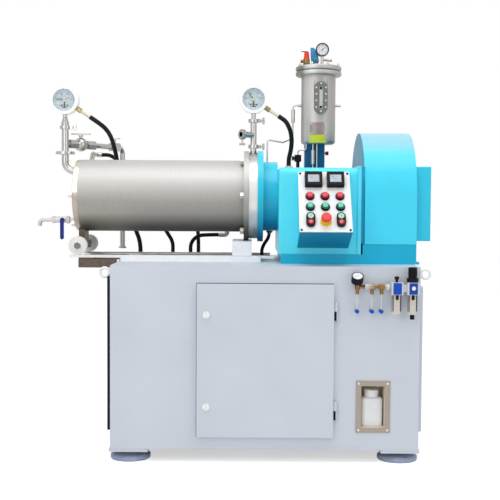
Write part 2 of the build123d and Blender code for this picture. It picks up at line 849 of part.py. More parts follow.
# Bearing housing: a cast box with a through bore, hollow below and beside it, and the pot's post
housing_front, housing_back = shaft_y - housing_depth / 2, shaft_y + housing_depth / 2
post_y = shaft_y + post_back
with BuildPart() as bearing_housing:
    block(housing_left, housing_right, housing_front, housing_back, bed_low_top, housing_top)
    fillet(bearing_housing.edges().filter_by(Axis.X).group_by(Axis.Z)[-1], housing_round)
    fillet(bearing_housing.edges().filter_by(Axis.Z), 8)
    block(housing_right - rib_width, housing_right, housing_front - rib_rise, housing_back + rib_rise,
          bed_low_top, housing_top + rib_rise)
    block(housing_left + housing_wall, housing_right - housing_wall, housing_front + housing_wall,
          housing_back - housing_wall, bed_low_top, shaft_z - bearing_radius - housing_wall,
          mode=Mode.SUBTRACT)
    pocket_inner = bearing_radius + housing_wall
    for side in (-1, 1):
        y0, y1 = sorted((shaft_y + side * pocket_inner, shaft_y + side * (housing_depth / 2 - housing_wall)))
        block(housing_left + housing_wall, housing_right - housing_wall, y0, y1, bed_low_top,
              housing_top - housing_wall, mode=Mode.SUBTRACT)
    bar(facing_x(housing_left, shaft_y, shaft_z), bearing_radius + slip, housing_right - housing_left,
        mode=Mode.SUBTRACT)
    plate(facing_z(post_x, post_y, housing_top + slip), post_width + 16, post_depth + 16, 8, corner=4)
    plate(facing_z(post_x, post_y, housing_top + slip + 8), post_width, post_depth,
          pot_bottom - housing_top - 8 - 2 * slip)
bearing_housing.part.label = "bearing_housing"
export_step(bearing_housing.part, "parts/bearing_housing.step")

# Seal neck with the stationary ring of the mechanical seal
neck_top = shaft_z + neck_radius
seal_face_x = face_x + 24
with BuildPart() as seal_neck:
    bar(facing_x(face_x, shaft_y, shaft_z), neck_flange_radius, neck_flange_width)
    bar(facing_x(face_x, shaft_y, shaft_z), neck_radius, housing_left - face_x)
    bar(facing_x(face_x, shaft_y, shaft_z), neck_bore, housing_left - face_x, mode=Mode.SUBTRACT)
    block(face_x + neck_flange_width + 2, face_x + neck_flange_width + 24, shaft_y - 12, shaft_y + 12,
          neck_top - 9, neck_top + 1, mode=Mode.SUBTRACT)
    with BuildSketch(facing_x(face_x, shaft_y, shaft_z)) as holes:
        with PolarLocations(flange_bolt_circle, bolt_count):
            Circle(bolt_radius + hole_gap)
    extrude(holes.sketch, amount=neck_flange_width, mode=Mode.SUBTRACT)
    bar(facing_x(seal_face_x - seal_ring_width, shaft_y, shaft_z), neck_bore - slip, seal_ring_width,
        shaft_radius + hole_gap)
seal_neck.part.label = "seal_neck"
export_step(seal_neck.part, "parts/seal_neck.step")

# Main shaft: nose in the chamber, seal ring, bearing seats and pulley seat
last_disc_x = face_x - first_disc_gap - (disc_count - 1) * disc_pitch
shaft_left = last_disc_x - disc_pitch / 2
with BuildPart() as main_shaft:
    bar(facing_x(shaft_left, shaft_y, shaft_z), shaft_nose_radius, face_x - 20 - shaft_left)
    bar(facing_x(face_x - 20, shaft_y, shaft_z), shaft_radius, housing_right + 4 - face_x + 20)
    bar(facing_x(housing_right + 4, shaft_y, shaft_z), shaft_pulley_seat,
        guard_right - 8 - housing_right - 4)
    bar(facing_x(seal_face_x + seat_gap, shaft_y, shaft_z), seal_ring_radius, seal_ring_width)
    hexagon(facing_x(shaft_left - 14, shaft_y, shaft_z), 46, 14)
main_shaft.part.label = "main_shaft"
export_step(main_shaft.part, "parts/main_shaft.step")

race_radius = (bearing_radius + shaft_radius) / 2
with BuildPart() as bearing_outer_rings:
    for x in bearing_places:
        bar(facing_x(x, shaft_y, shaft_z), bearing_radius, bearing_width, bearing_radius - bearing_wall)
bearing_outer_rings.part.label = "bearing_outer_rings"
export_step(bearing_outer_rings.part, "parts/bearing_outer_rings.step")

with BuildPart() as bearing_inner_rings:
    for x in bearing_places:
        bar(facing_x(x, shaft_y, shaft_z), shaft_radius + bearing_wall, bearing_width, shaft_radius + slip)
        with Locations(facing_x(x + bearing_width / 2, shaft_y, shaft_z)):
            with PolarLocations(race_radius, ball_count):
                Sphere(ball_radius)
bearing_inner_rings.part.label = "bearing_inner_rings"
export_step(bearing_inner_rings.part, "parts/bearing_inner_rings.step")

# Agitator: slotted discs with spacer sleeves between them
with BuildPart() as agitator_discs:
    for place in range(disc_count):
        x = face_x - first_disc_gap - place * disc_pitch
        with BuildSketch(facing_x(x - disc_thickness / 2, shaft_y, shaft_z)) as face:
            Circle(disc_radius)
            Circle(shaft_nose_radius + slip, mode=Mode.SUBTRACT)
            with PolarLocations(disc_hole_circle, disc_hole_count):
                Circle(disc_hole_radius, mode=Mode.SUBTRACT)
        extrude(face.sketch, amount=disc_thickness)
    for place in range(disc_count - 1):
        x = face_x - first_disc_gap - (place + 1) * disc_pitch + disc_thickness / 2 + slip
        bar(facing_x(x, shaft_y, shaft_z), spacer_radius, disc_pitch - disc_thickness - 2 * slip,
            shaft_nose_radius + slip)
agitator_discs.part.label = "agitator_discs"
export_step(agitator_discs.part, "parts/agitator_discs.step")

# Feed ring between the chamber and the neck, bored for the feed port
with BuildPart() as feed_ring:
    bar(facing_x(flange_right, shaft_y, shaft_z), feed_ring_radius, feed_ring_width, barrel_bore)
    with BuildSketch(facing_x(flange_right, shaft_y, shaft_z)) as holes:
        with PolarLocations(flange_bolt_circle, bolt_count):
            Circle(bolt_radius + hole_gap)
    extrude(holes.sketch, amount=feed_ring_width, mode=Mode.SUBTRACT)
    port_x = flange_right + feed_ring_width / 2
    bar(facing_z(port_x, shaft_y, shaft_z + barrel_bore - 5), port_bore, 70, mode=Mode.SUBTRACT)
feed_ring.part.label = "feed_ring"
export_step(feed_ring.part, "parts/feed_ring.step")

with BuildPart() as inner_barrel:
    bar(facing_x(cover_right, shaft_y, shaft_z), barrel_bore + barrel_wall, chamber_length, barrel_bore)
inner_barrel.part.label = "inner_barrel"
export_step(inner_barrel.part, "parts/inner_barrel.step")

# Cooling jacket: shell, flange, closing ring and the rear water nozzles
nozzle_y = shaft_y + 200
rear_nozzles = ((-136.5, shaft_z - 30), (-13.5, shaft_z - 130))
jacket_outlet_x = -570
with BuildPart() as cooling_jacket:
    bar(facing_x(cover_right, shaft_y, shaft_z), jacket_radius, chamber_length, jacket_radius - jacket_wall)
    bar(facing_x(cover_right, shaft_y, shaft_z), jacket_radius, end_ring_width,
        barrel_bore + barrel_wall + slip)
    bar(facing_x(flange_left, shaft_y, shaft_z), flange_radius, flange_width, barrel_bore)
    for x, z in rear_nozzles:
        wall_y = shaft_y + sqrt(jacket_radius ** 2 - (z - shaft_z) ** 2) - 3
        bar(facing_y(x, wall_y, z), 11, nozzle_y - wall_y)
        hexagon(facing_y(x, nozzle_y - 18, z), 30, 18)
    bend_y, end_z = shaft_y + jacket_return_back, shaft_z + 173
    pipe([(jacket_outlet_x, shaft_y + 88, shaft_z + 105), (jacket_outlet_x, shaft_y + 150, end_z),
          (jacket_outlet_x, bend_y, end_z), (jacket_outlet_x + 25, bend_y, end_z)], [22, 14], 10)
    with BuildSketch(facing_x(flange_left, shaft_y, shaft_z)) as holes:
        with PolarLocations(flange_bolt_circle, bolt_count):
            Circle(bolt_radius + hole_gap)
    extrude(holes.sketch, amount=flange_width, mode=Mode.SUBTRACT)
    with BuildSketch(facing_x(cover_right, shaft_y, shaft_z)) as holes:
        with PolarLocations(cover_bolt_circle, bolt_count):
            Circle(bolt_radius - 2 + hole_gap)
    extrude(holes.sketch, amount=end_ring_width - 2, mode=Mode.SUBTRACT)
cooling_jacket.part.label = "cooling_jacket"
export_step(cooling_jacket.part, "parts/cooling_jacket.step")

# End cover with the outlet and drain holes
with BuildPart() as end_cover:
    bar(facing_x(cover_left, shaft_y, shaft_z), cover_radius, cover_width)
    chamfer(end_cover.edges().group_by(Axis.X)[0], 2)
    with BuildSketch(facing_x(cover_left, shaft_y, shaft_z)) as holes:
        with PolarLocations(cover_bolt_circle, bolt_count):
            Circle(bolt_radius - 2 + hole_gap)
        with Locations((0, outlet_z - shaft_z)):
            Circle(outlet_bore)
        with Locations((0, drain_z - shaft_z)):
            Circle(drain_bore)
    extrude(holes.sketch, amount=cover_width, mode=Mode.SUBTRACT)
end_cover.part.label = "end_cover"
export_step(end_cover.part, "parts/end_cover.step")

# Flange bolts and end cover bolts
with BuildPart() as chamber_bolts:
    for place in range(bolt_count):
        angle = 2 * pi * place / bolt_count
        y = shaft_y + flange_bolt_circle * cos(angle)
        z = shaft_z + flange_bolt_circle * sin(angle)
        hexagon(facing_x(flange_left - bolt_head_height, y, z), bolt_head, bolt_head_height)
        bar(facing_x(flange_left, y, z), bolt_radius, flange_width + feed_ring_width + neck_flange_width - 2)
        y = shaft_y + cover_bolt_circle * cos(angle)
        z = shaft_z + cover_bolt_circle * sin(angle)
        hexagon(facing_x(cover_left - bolt_head_height, y, z), bolt_head - 3, bolt_head_height)
        bar(facing_x(cover_left, y, z), bolt_radius - 2, cover_width + end_ring_width - 6)
chamber_bolts.part.label = "chamber_bolts"
export_step(chamber_bolts.part, "parts/chamber_bolts.step")

# Separator screen: a slotted can on the end cover
with BuildPart() as separator_screen:
    bar(facing_x(cover_right + screen_length - 4, shaft_y, shaft_z), screen_radius, 4)
    bar(facing_x(cover_right, shaft_y, shaft_z), screen_radius, screen_length, screen_radius - screen_wall)
    with BuildSketch(facing_x(cover_right + 12, shaft_y, shaft_z)) as slots:
        with PolarLocations(screen_radius, screen_slots):
            Rectangle(3 * screen_wall, screen_slot)
    extrude(slots.sketch, amount=screen_length - 24, mode=Mode.SUBTRACT)
separator_screen.part.label = "separator_screen"
export_step(separator_screen.part, "parts/separator_screen.step")


# A point given by its distance behind the shaft plane
def at(x, back, z):
    return (x, shaft_y + back, z)


# Slide rails: a flat rail in front and a round rod behind
rod_z = rail_top - rod_radius
front_rail_y = shaft_y - rail_y
rear_rail_y = shaft_y + rail_y
with BuildPart() as slide_rails:
    block(rail_left, rail_right, front_rail_y - rail_width / 2, front_rail_y + rail_width / 2,
          rail_top - rail_thickness, rail_top)
    bar(facing_x(rod_left, rear_rail_y, rod_z), rod_radius, rod_right - rod_left)
slide_rails.part.label = "slide_rails"
export_step(slide_rails.part, "parts/slide_rails.step")

# A long guide in front, two short ones behind, and the arms that carry the rails beside the cabinet
cheek = 10
with BuildPart() as rail_brackets:
    half = rail_width / 2 + cheek
    guide_floor = rail_top - rail_thickness - seat_gap
    block(front_guide_left, front_guide_right, front_rail_y - half, front_rail_y + half,
          deck_top, guide_floor)
    for side in (-1, 1):
        y0, y1 = sorted((front_rail_y + side * half, front_rail_y + side * (half - cheek + seat_gap)))
        block(front_guide_left, front_guide_right, y0, y1, guide_floor + slip, rail_top - 1)
    for x in rear_guides:
        x0, x1 = x - guide_width / 2, x + guide_width / 2
        block(x0, x1, rear_rail_y - half + cheek, rear_rail_y + half - cheek, deck_top, rod_z)
        bar(facing_x(x0, rear_rail_y, rod_z), rod_radius + seat_gap, guide_width, mode=Mode.SUBTRACT)
        block(x0, x1, rear_rail_y - rod_radius - 2, rear_rail_y + rod_radius + 2, rod_z - 3, rod_z + 1,
              mode=Mode.SUBTRACT)
    arm_top = guide_floor
    for y in (front_rail_y, rear_rail_y):
        block(arm_left, cabinet_left, y - 20, y + 20, arm_top - arm_thickness - 6, arm_top - 6)
        block(arm_left, arm_left + 60, y - 14, y + 14, arm_top - 6, arm_top)
        block(cabinet_left - 8, cabinet_left, y - 34, y + 34, arm_top - arm_thickness - 6, arm_top - 6)
    bar(facing_x(arm_left, rear_rail_y, rod_z), rod_radius + seat_gap, 60, mode=Mode.SUBTRACT)
    block(arm_left, arm_left + 30, front_rail_y, rear_rail_y, arm_top - arm_thickness - 4, arm_top - 10)
rail_brackets.part.label = "rail_brackets"
export_step(rail_brackets.part, "parts/rail_brackets.step")

# Bracket under the chamber for the roller axle, and the shoe under the flange that rides the rails
roller_z = rail_top + seat_gap + roller_radius
with BuildPart() as roller_bracket:
    x0, x1 = roller_x - bracket_width / 2, roller_x + bracket_width / 2
    block(x0, x1, shaft_y - 96, shaft_y + 96, roller_z - 15, roller_z + 15)
    block(x0, x1, shaft_y - 46, shaft_y + 46, roller_z, shaft_z - jacket_radius + 12)
    bar(facing_x(x0 - 1, shaft_y, shaft_z), jacket_radius + slip, bracket_width + 2, mode=Mode.SUBTRACT)
    bar(facing_y(roller_x, shaft_y - 100, roller_z), axle_radius + slip, 200, mode=Mode.SUBTRACT)
    shoe_top = shaft_z - flange_radius + 4
    block(shoe_left, shoe_right, front_rail_y - shoe_foot / 2, rear_rail_y + shoe_foot / 2,
          shoe_top - shoe_beam, shoe_top)
    for y in (front_rail_y, rear_rail_y):
        block(shoe_left, shoe_right, y - shoe_foot / 2, y + shoe_foot / 2, rail_top + seat_gap, shoe_top)
    bar(facing_x(shoe_left - 1, shaft_y, shaft_z), flange_radius + slip, shoe_right - shoe_left + 2,
        mode=Mode.SUBTRACT)
roller_bracket.part.label = "roller_bracket"
export_step(roller_bracket.part, "parts/roller_bracket.step")

with BuildPart() as rail_rollers:
    reach = rail_y + roller_width / 2
    bar(facing_y(roller_x, shaft_y - reach - 4, roller_z), axle_radius, 2 * reach + 8)
    for side in (-1, 1):
        inner = shaft_y + side * (rail_y - roller_width / 2)
        bar(Plane(origin=(roller_x, inner, roller_z), z_dir=(0, side, 0)), roller_radius, roller_width,
            axle_radius + slip)
        outer_y = shaft_y + side * (reach + slip)
        hexagon(Plane(origin=(roller_x, outer_y, roller_z), z_dir=(0, side, 0)), 24, 9)
rail_rollers.part.label = "rail_rollers"
export_step(rail_rollers.part, "parts/rail_rollers.step")

# Product outlet: elbow and riser, flange, clamp, adaptor, and the side branch with its valve
turn = radians(branch_angle)
branch_way = Vector(cos(turn), sin(turn), 0)
branch_start = Vector(outlet_x, shaft_y, branch_z)
branch_end = branch_start + branch_way * branch_length
with BuildPart() as outlet_pipe:
    pipe([(cover_left, shaft_y, outlet_z), (outlet_x, shaft_y, outlet_z), (outlet_x, shaft_y, outlet_top)],
         [outlet_bend], outlet_radius)
    pipe([branch_start, branch_end, (branch_end.X, branch_end.Y, down_pipe_bottom)], [28], branch_radius)
    bar(facing_z(outlet_x, shaft_y, outlet_disc_z), outlet_disc_radius, 11)
    bar(facing_z(outlet_x, shaft_y, outlet_top), outlet_radius + 2, 8)
    with BuildSketch(facing_z(outlet_x, shaft_y, outlet_top + 8)) as foot:
        Circle(outlet_radius)
    with BuildSketch(facing_z(outlet_x, shaft_y, outlet_top + 28)) as head:
        Circle(gauge_stem)
    loft([foot.sketch, head.sketch])
    for start, length in union_nuts:
        hexagon(toward(branch_start + branch_way * start, branch_way), nut_across, length)
    with Locations(branch_start + branch_way * valve_along):
        Sphere(valve_radius + 9)
    bar(facing_z(*(branch_start + branch_way * valve_along)), 6, valve_radius + 13)
    tap = branch_start + branch_way * branch_tap_along
    bar(facing_z(*tap), 5, branch_tap_height)
    plate(facing_z(tap.X, tap.Y, tap.Z + branch_tap_height), 46, 9, 4, corner=4)
    bar(facing_z(branch_end.X, branch_end.Y, down_pipe_bottom), branch_radius + 6, 7)
    bar(facing_z(branch_end.X, branch_end.Y, down_pipe_bottom), branch_bore, 60, mode=Mode.SUBTRACT)
    tri_clamp(outlet_x, shaft_y, outlet_clamp_z)
    gauge_case(outlet_x, shaft_y, outlet_gauge_z)
    bar(facing_z(outlet_x, shaft_y, outlet_top + 28 + slip), gauge_stem,
        outlet_gauge_z - gauge_radius + 3 - outlet_top - 28)
    gauge_glass(outlet_x, shaft_y, outlet_gauge_z)
outlet_pipe.part.label = "outlet_pipe"
export_step(outlet_pipe.part, "parts/outlet_pipe.step")

handle_z = branch_z + valve_radius + 13 + seat_gap
with BuildPart() as outlet_valve_handle:
    pivot = branch_start + branch_way * 84
    bar(facing_z(pivot.X, pivot.Y, handle_z), 9, 8)
    plate(facing_z(pivot.X, pivot.Y, handle_z + 8), handle_length, 13, 5, corner=6)
outlet_valve_handle.part.label = "outlet_valve_handle"
export_step(outlet_valve_handle.part, "parts/outlet_valve_handle.step")

with BuildPart() as outlet_gauge_pointer:
    gauge_pointer(outlet_x, shaft_y, outlet_gauge_z, pointer_length, 172)
outlet_gauge_pointer.part.label = "outlet_gauge_pointer"
export_step(outlet_gauge_pointer.part, "parts/outlet_gauge_pointer.step")

# Cable hose of the outlet gauge, from its gland back and down behind the chamber to the deck
cup_top = deck_top + gland_cup_height + seat_gap
outlet_tip = gland_tip(outlet_x, shaft_y, outlet_gauge_z)
gland_way = Vector(cos(radians(gland_angle)), 0, sin(radians(gland_angle)))
outlet_hose_route = [
    outlet_tip + gland_way * slip, outlet_tip + gland_way * 36, at(-496, 23, 1234), at(-483, 76, 1205),
    at(-477, 127, 1165), at(-472, 170, 1113), at(-464, 197, 1046), at(-447, 207, 971),
    at(-425, 213, 895), at(-400, 218, 823), at(-380, 220, 772), at(-380, 220, cup_top),
]
with BuildPart() as outlet_gauge_hose:
    hose(outlet_hose_route, hose_radius)
outlet_gauge_hose.part.label = "outlet_gauge_hose"
export_step(outlet_gauge_hose.part, "parts/outlet_gauge_hose.step")

# Drain valve with its nipple, body, nut and curved spout
spout_x = -drain_reach + drain_radius
with BuildPart() as drain_valve:
    bar(toward((cover_left, shaft_y, drain_z), (-1, 0, 0)), drain_radius, 34)
    bar(toward((cover_left - 34, shaft_y, drain_z), (-1, 0, 0)), 12.5, 62)
    hexagon(toward((cover_left - 34, shaft_y, drain_z), (-1, 0, 0)), 27, 12)
    hexagon(toward((cover_left - 90, shaft_y, drain_z), (-1, 0, 0)), 24, 14)
    bar(toward((drain_valve_x, shaft_y, drain_z), (0, -1, 0)), 6, 19)
    pipe([(cover_left - 100, shaft_y, drain_z), (spout_x, shaft_y, drain_z - 1),
          (spout_x, shaft_y, drain_spout_tip_z)], [16], drain_radius)
    bar(facing_z(spout_x, shaft_y, drain_spout_tip_z), drain_bore, 10, mode=Mode.SUBTRACT)
drain_valve.part.label = "drain_valve"
export_step(drain_valve.part, "parts/drain_valve.step")

with BuildPart() as drain_lever:
    plate(toward((drain_valve_x, shaft_y - 19 - seat_gap, drain_z), (0, -1, 0)), 17, 17, 5, corner=8)
    with BuildSketch(Plane(origin=(drain_valve_x, shaft_y - 24 - seat_gap, drain_z), x_dir=(1, 0, 0),
                           z_dir=(0, -1, 0))) as grip:
        with Locations((0, 8 - lever_length / 2)):
            SlotOverall(lever_length, lever_width, rotation=90)
    extrude(grip.sketch, amount=lever_thickness)
drain_lever.part.label = "drain_lever"
export_step(drain_lever.part, "parts/drain_lever.step")

# Feed port on the feed ring with its clamps, adaptor and the side inlet
inlet_turn = radians(inlet_angle)
inlet_way = Vector(cos(inlet_turn), sin(inlet_turn), 0)
inlet_tip = Vector(port_x, shaft_y, inlet_z) + inlet_way * (inlet_length + port_radius)
port_foot = shaft_z + feed_ring_radius + slip
with BuildPart() as feed_port:
    bar(facing_z(port_x, shaft_y, port_foot), port_radius, port_clamp_high + 8 - port_foot)
    bar(facing_z(port_x, shaft_y, port_foot), port_radius + 4, 5)
    bar(toward((port_x, shaft_y, inlet_z), inlet_way), inlet_radius, inlet_length + port_radius)
    bar(toward(inlet_tip - inlet_way * 6, inlet_way), inlet_radius + 4, 6)
    bar(toward(inlet_tip - inlet_way * 12, inlet_way), clamp_radius, 9)
    wing = inlet_tip - inlet_way * 7.5
    bar(facing_z(wing.X, wing.Y, inlet_z - clamp_radius - 14), 3, 18)
    plate(facing_z(wing.X, wing.Y, inlet_z - clamp_radius - 22), 24, wing_width, 9)
    tri_clamp(port_x, shaft_y, port_clamp_low)
    tri_clamp(port_x, shaft_y, port_clamp_high)
    bar(facing_z(port_x, shaft_y, port_foot), port_bore, port_clamp_high - port_foot, mode=Mode.SUBTRACT)
    bar(toward((port_x, shaft_y, inlet_z), inlet_way), inlet_bore, inlet_length + port_radius + 1,
        mode=Mode.SUBTRACT)
    gauge_case(port_x, shaft_y, feed_gauge_z)
    foot_z = port_clamp_high + 8 + slip
    bar(facing_z(port_x, shaft_y, foot_z), gauge_stem, feed_gauge_z - gauge_radius + 3 - foot_z)
    gauge_glass(port_x, shaft_y, feed_gauge_z)
feed_port.part.label = "feed_port"
export_step(feed_port.part, "parts/feed_port.step")

with BuildPart() as feed_gauge_pointer:
    gauge_pointer(port_x, shaft_y, feed_gauge_z, pointer_length, 128)
feed_gauge_pointer.part.label = "feed_gauge_pointer"
export_step(feed_gauge_pointer.part, "parts/feed_gauge_pointer.step")

# Hoses that stay on the machine: water hoses, the neck drain and the feed gauge's cable hose
feed_tip = gland_tip(port_x, shaft_y, feed_gauge_z)
jacket_return_route = [
    at(jacket_outlet_x + 25 + seat_gap, jacket_return_back, shaft_z + 173),
    at(-512, jacket_return_back, shaft_z + 173),
    at(-478, jacket_return_back, 1118), at(-447, jacket_return_back, 1060), at(-399, jacket_return_back, 980),
    at(-343, jacket_return_back, 905), at(-284, jacket_return_back, 838), at(-244, jacket_return_back, 775),
    at(-244, jacket_return_back, cup_top),
]
jacket_feed_route = [
    at(-136.5, jacket_feed_back, 905), at(-136.5, jacket_feed_back, 872), at(-140, 258, 825),
    at(-137, 260, 775), at(-137, 260, cup_top),
]
flange_route = [
    at(-50 - slip, flange_back, 806), at(-90, flange_back, 805), at(-129, flange_back, 803),
    at(-154, flange_back, 789), at(-168.5, flange_back, 764), at(-168.5, flange_back, cup_top),
]
drain_turn = radians(25)
drain_way = Vector(0, sin(drain_turn), -cos(drain_turn))
drain_foot = Vector(162, shaft_y, shaft_z) + drain_way * (neck_radius + slip)
neck_drain_route = [
    drain_foot + drain_way * 20, at(158, 80, 797), at(142, 91, 775), at(132, 96, 752), at(132, 96, cup_top),
]
feed_hose_route = [
    feed_tip + gland_way * slip, feed_tip + gland_way * 36, at(243, 16, 1230), at(249, 33, 1191),
    at(246, 48, 1153), at(238, 58, 1120), at(238, 58, housing_top + 16),
]
with BuildPart() as machine_hoses:
    hose(jacket_return_route, water_radius)
    hose(jacket_feed_route, water_radius)
    hose(flange_route, water_radius)
    hose(neck_drain_route, water_radius - 1)
    hose(feed_hose_route, hose_radius)
    pipe([at(-136.5, 200 + seat_gap, shaft_z - 30), at(-136.5, jacket_feed_back, shaft_z - 30),
          at(-136.5, jacket_feed_back, 905)], [12], 10)
    pipe([at(-13.5, 200 + seat_gap, shaft_z - 130), at(-13.5, flange_back, shaft_z - 130),
          at(-13.5, flange_back, 806), at(-50, flange_back, 806)], [12, 12], 10)
    hexagon(toward(drain_foot, drain_way), 26, 20)
    for route in (jacket_return_route, jacket_feed_route, flange_route, neck_drain_route, outlet_hose_route):
        foot_point = Vector(route[-1])
        bar(facing_z(foot_point.X, foot_point.Y, deck_top), gland_cup_radius, gland_cup_height)
    bar(facing_z(238, shaft_y + 58, housing_top), gland_cup_radius, 16)
machine_hoses.part.label = "machine_hoses"
export_step(machine_hoses.part, "parts/machine_hoses.step")

# Seal fluid pipework: the steel line from the neck to the pot and the small valves under the pot
pot_y = shaft_y + pot_back
line_z = 1338
flush_knob_x = 259
post_right = post_x + post_width / 2
pot_floor = pot_bottom - slip
with BuildPart() as seal_pipework:
    pipe([at(150, 0, neck_top - 9 + slip), at(150, 0, 1192), at(213, 40, 1184), at(255.5, 100, 1205),
          at(255.5, 100, line_z), at(pot_x - pot_radius - slip, 100, line_z)], [10, 14, 14, 10], steel_tube)
    bar(facing_z(255.5, pot_y, 1269), 8, 53)
    bar(facing_x(pot_x - pot_radius - 14, pot_y, line_z), 6, 14 - slip)
    bar(facing_x(pot_x + pot_radius + slip, pot_y, line_z), 5, 22)
    bar(facing_z(275, shaft_y + 60, housing_top), 7, 60)
    hexagon(facing_z(275, shaft_y + 60, 1108), 24, 28)
    bar(toward(at(275, 60, 1122), (-1, 0, 0)), 5, 275 - flush_knob_x - seat_gap)
    pipe([at(275, 60, 1130), at(275, 60, 1155), at(308, 56, 1155), at(308, 56, pot_floor)], [10, 10],
         steel_tube)
    for x in seal_tubes:
        bar(facing_z(x, shaft_y + 51, housing_top), steel_tube, pot_floor - housing_top)
    bar(facing_z(seal_tubes[0], shaft_y + 51, 1098), 8, 56)
    bar(facing_x(post_right, post_y, 1145), 4, 6)
seal_pipework.part.label = "seal_pipework"
export_step(seal_pipework.part, "parts/seal_pipework.step")

with BuildPart() as flush_knob:
    bar(facing_x(flush_knob_x - 8, shaft_y + 60, 1122), 9, 8)
flush_knob.part.label = "flush_knob"
export_step(flush_knob.part, "parts/flush_knob.step")

with BuildPart() as red_knob:
    bar(facing_x(post_right + 6 + seat_gap, post_y, 1145), 8, 12)
red_knob.part.label = "red_knob"
export_step(red_knob.part, "parts/red_knob.step")

# Seal pot: vessel with its flange, bolted lid, sight glass frame and glass
glass_x = pot_x + 5
with BuildPart() as seal_pot:
    bar(facing_z(pot_x, pot_y, pot_bottom), pot_radius, pot_top - pot_bottom)
    fillet(seal_pot.edges().group_by(Axis.Z)[0], 14)
    bar(facing_z(pot_x, pot_y, pot_top), lid_radius, lid_disc)
    fillet(seal_pot.edges().filter_by(GeomType.CIRCLE).filter_by(lambda e: e.radius > lid_radius - 1), 7)
    bar(facing_z(pot_x, pot_y, pot_bottom + pot_wall), pot_radius - pot_wall,
        pot_top + lid_disc - pot_bottom - pot_wall, mode=Mode.SUBTRACT)
    with BuildPart(mode=Mode.PRIVATE) as lid:
        bar(facing_z(pot_x, pot_y, pot_top + lid_disc + lid_gap), lid_radius, lid_disc)
        fillet(lid.edges().filter_by(GeomType.CIRCLE), 7)
        bar(facing_z(pot_x, pot_y, pot_top + lid_disc + slip), pot_radius, lid_gap)
    add(lid.part)
    frame_plane = facing_front(glass_x, pot_y - pot_radius + 20, glass_z)
    plate(frame_plane, glass_width, glass_height, 20 + glass_depth, corner=glass_width / 2 - 1)
    plate(facing_front(glass_x, pot_y - pot_radius + 1, glass_z), glass_slot, glass_slot_height,
          glass_depth + 2, corner=6.9, mode=Mode.SUBTRACT)
    plate(facing_front(glass_x, pot_y - pot_radius - 4, glass_z), glass_slot - 2 * slip,
          glass_slot_height - 2 * slip, 4, corner=6.8)
    for side in (-1, 1):
        for row in range(4):
            z = glass_z + (row - 1.5) * 26
            bar(facing_front(glass_x + side * 19, pot_y - pot_radius - glass_depth, z), 4, 4)
        z = glass_z + side * 55
        bar(facing_front(glass_x, pot_y - pot_radius - glass_depth, z), 4, 4)
    bar(facing_z(pot_x, pot_y, pot_bottom + pot_wall), pot_radius - pot_wall,
        pot_top + lid_disc - pot_bottom - pot_wall, mode=Mode.SUBTRACT)
seal_pot.part.label = "seal_pot"
export_step(seal_pot.part, "parts/seal_pot.step")

# Fittings on the lid: safety valve, ball valve body, gauge with its cross, and a plug
lid_top = pot_top + 2 * lid_disc + lid_gap + slip
valve_z = lid_top + 26
with BuildPart() as pot_fittings:
    hexagon(facing_z(safety_x, pot_y, lid_top), 24, 14)
    bar(facing_z(safety_x, pot_y, lid_top + 14), 13, 18)
    bar(toward((safety_x, pot_y, lid_top + 23), (-1, 0, 0)), 7, 24)
    with BuildSketch(facing_z(safety_x, pot_y, lid_top + 32)) as foot:
        Circle(12)
    with BuildSketch(facing_z(safety_x, pot_y, lid_top + 60)) as head:
        Circle(9)
    loft([foot.sketch, head.sketch])
    plate(facing_z(safety_x - 8, pot_y, lid_top + 60), 26, 7, 3)
    bar(facing_z(pot_valve_x, pot_y, lid_top), 9, 40)
    with Locations((pot_valve_x, pot_y, valve_z)):
        Sphere(15)
    bar(facing_y(pot_valve_x, pot_y, valve_z), 5, 22)
    gauge_bottom = pot_gauge_z - pot_gauge_radius
    bar(facing_z(pot_gauge_x, pot_y, lid_top), 6, gauge_bottom + 3 - lid_top)
    bar(facing_y(pot_gauge_x, pot_y - pot_gauge_depth / 2, pot_gauge_z), pot_gauge_radius, pot_gauge_depth)
    bar(facing_y(pot_gauge_x, pot_y - pot_gauge_depth / 2, pot_gauge_z), pot_gauge_radius - 4, 5,
        mode=Mode.SUBTRACT)
    bar(facing_x(pot_gauge_x, pot_y, valve_z + 2), 5, 34)
    bar(facing_x(pot_gauge_x + 32, pot_y, valve_z + 2), 7, 8)
    hexagon(facing_z(pot_x + 32, pot_y + 22, lid_top), 17, 12)
pot_fittings.part.label = "pot_fittings"
export_step(pot_fittings.part, "parts/pot_fittings.step")

with BuildPart() as pot_valve_lever:
    back = pot_y + 22 + seat_gap
    bar(facing_y(pot_valve_x, back, valve_z), 9, 6)
    grip_plane = Plane(origin=(pot_valve_x, back + 6, valve_z), x_dir=(1, 0, 0), z_dir=(0, -1, 0))
    with BuildSketch(grip_plane) as grip:
        with BuildLine():
            Polyline((-16, -6), (12, -6), (12, 20), (-4, 55), (-20, 57), (-19, 20), close=True)
        make_face()
        fillet(grip.vertices(), 4)
    extrude(grip.sketch, amount=4)
pot_valve_lever.part.label = "pot_valve_lever"
export_step(pot_valve_lever.part, "parts/pot_valve_lever.step")

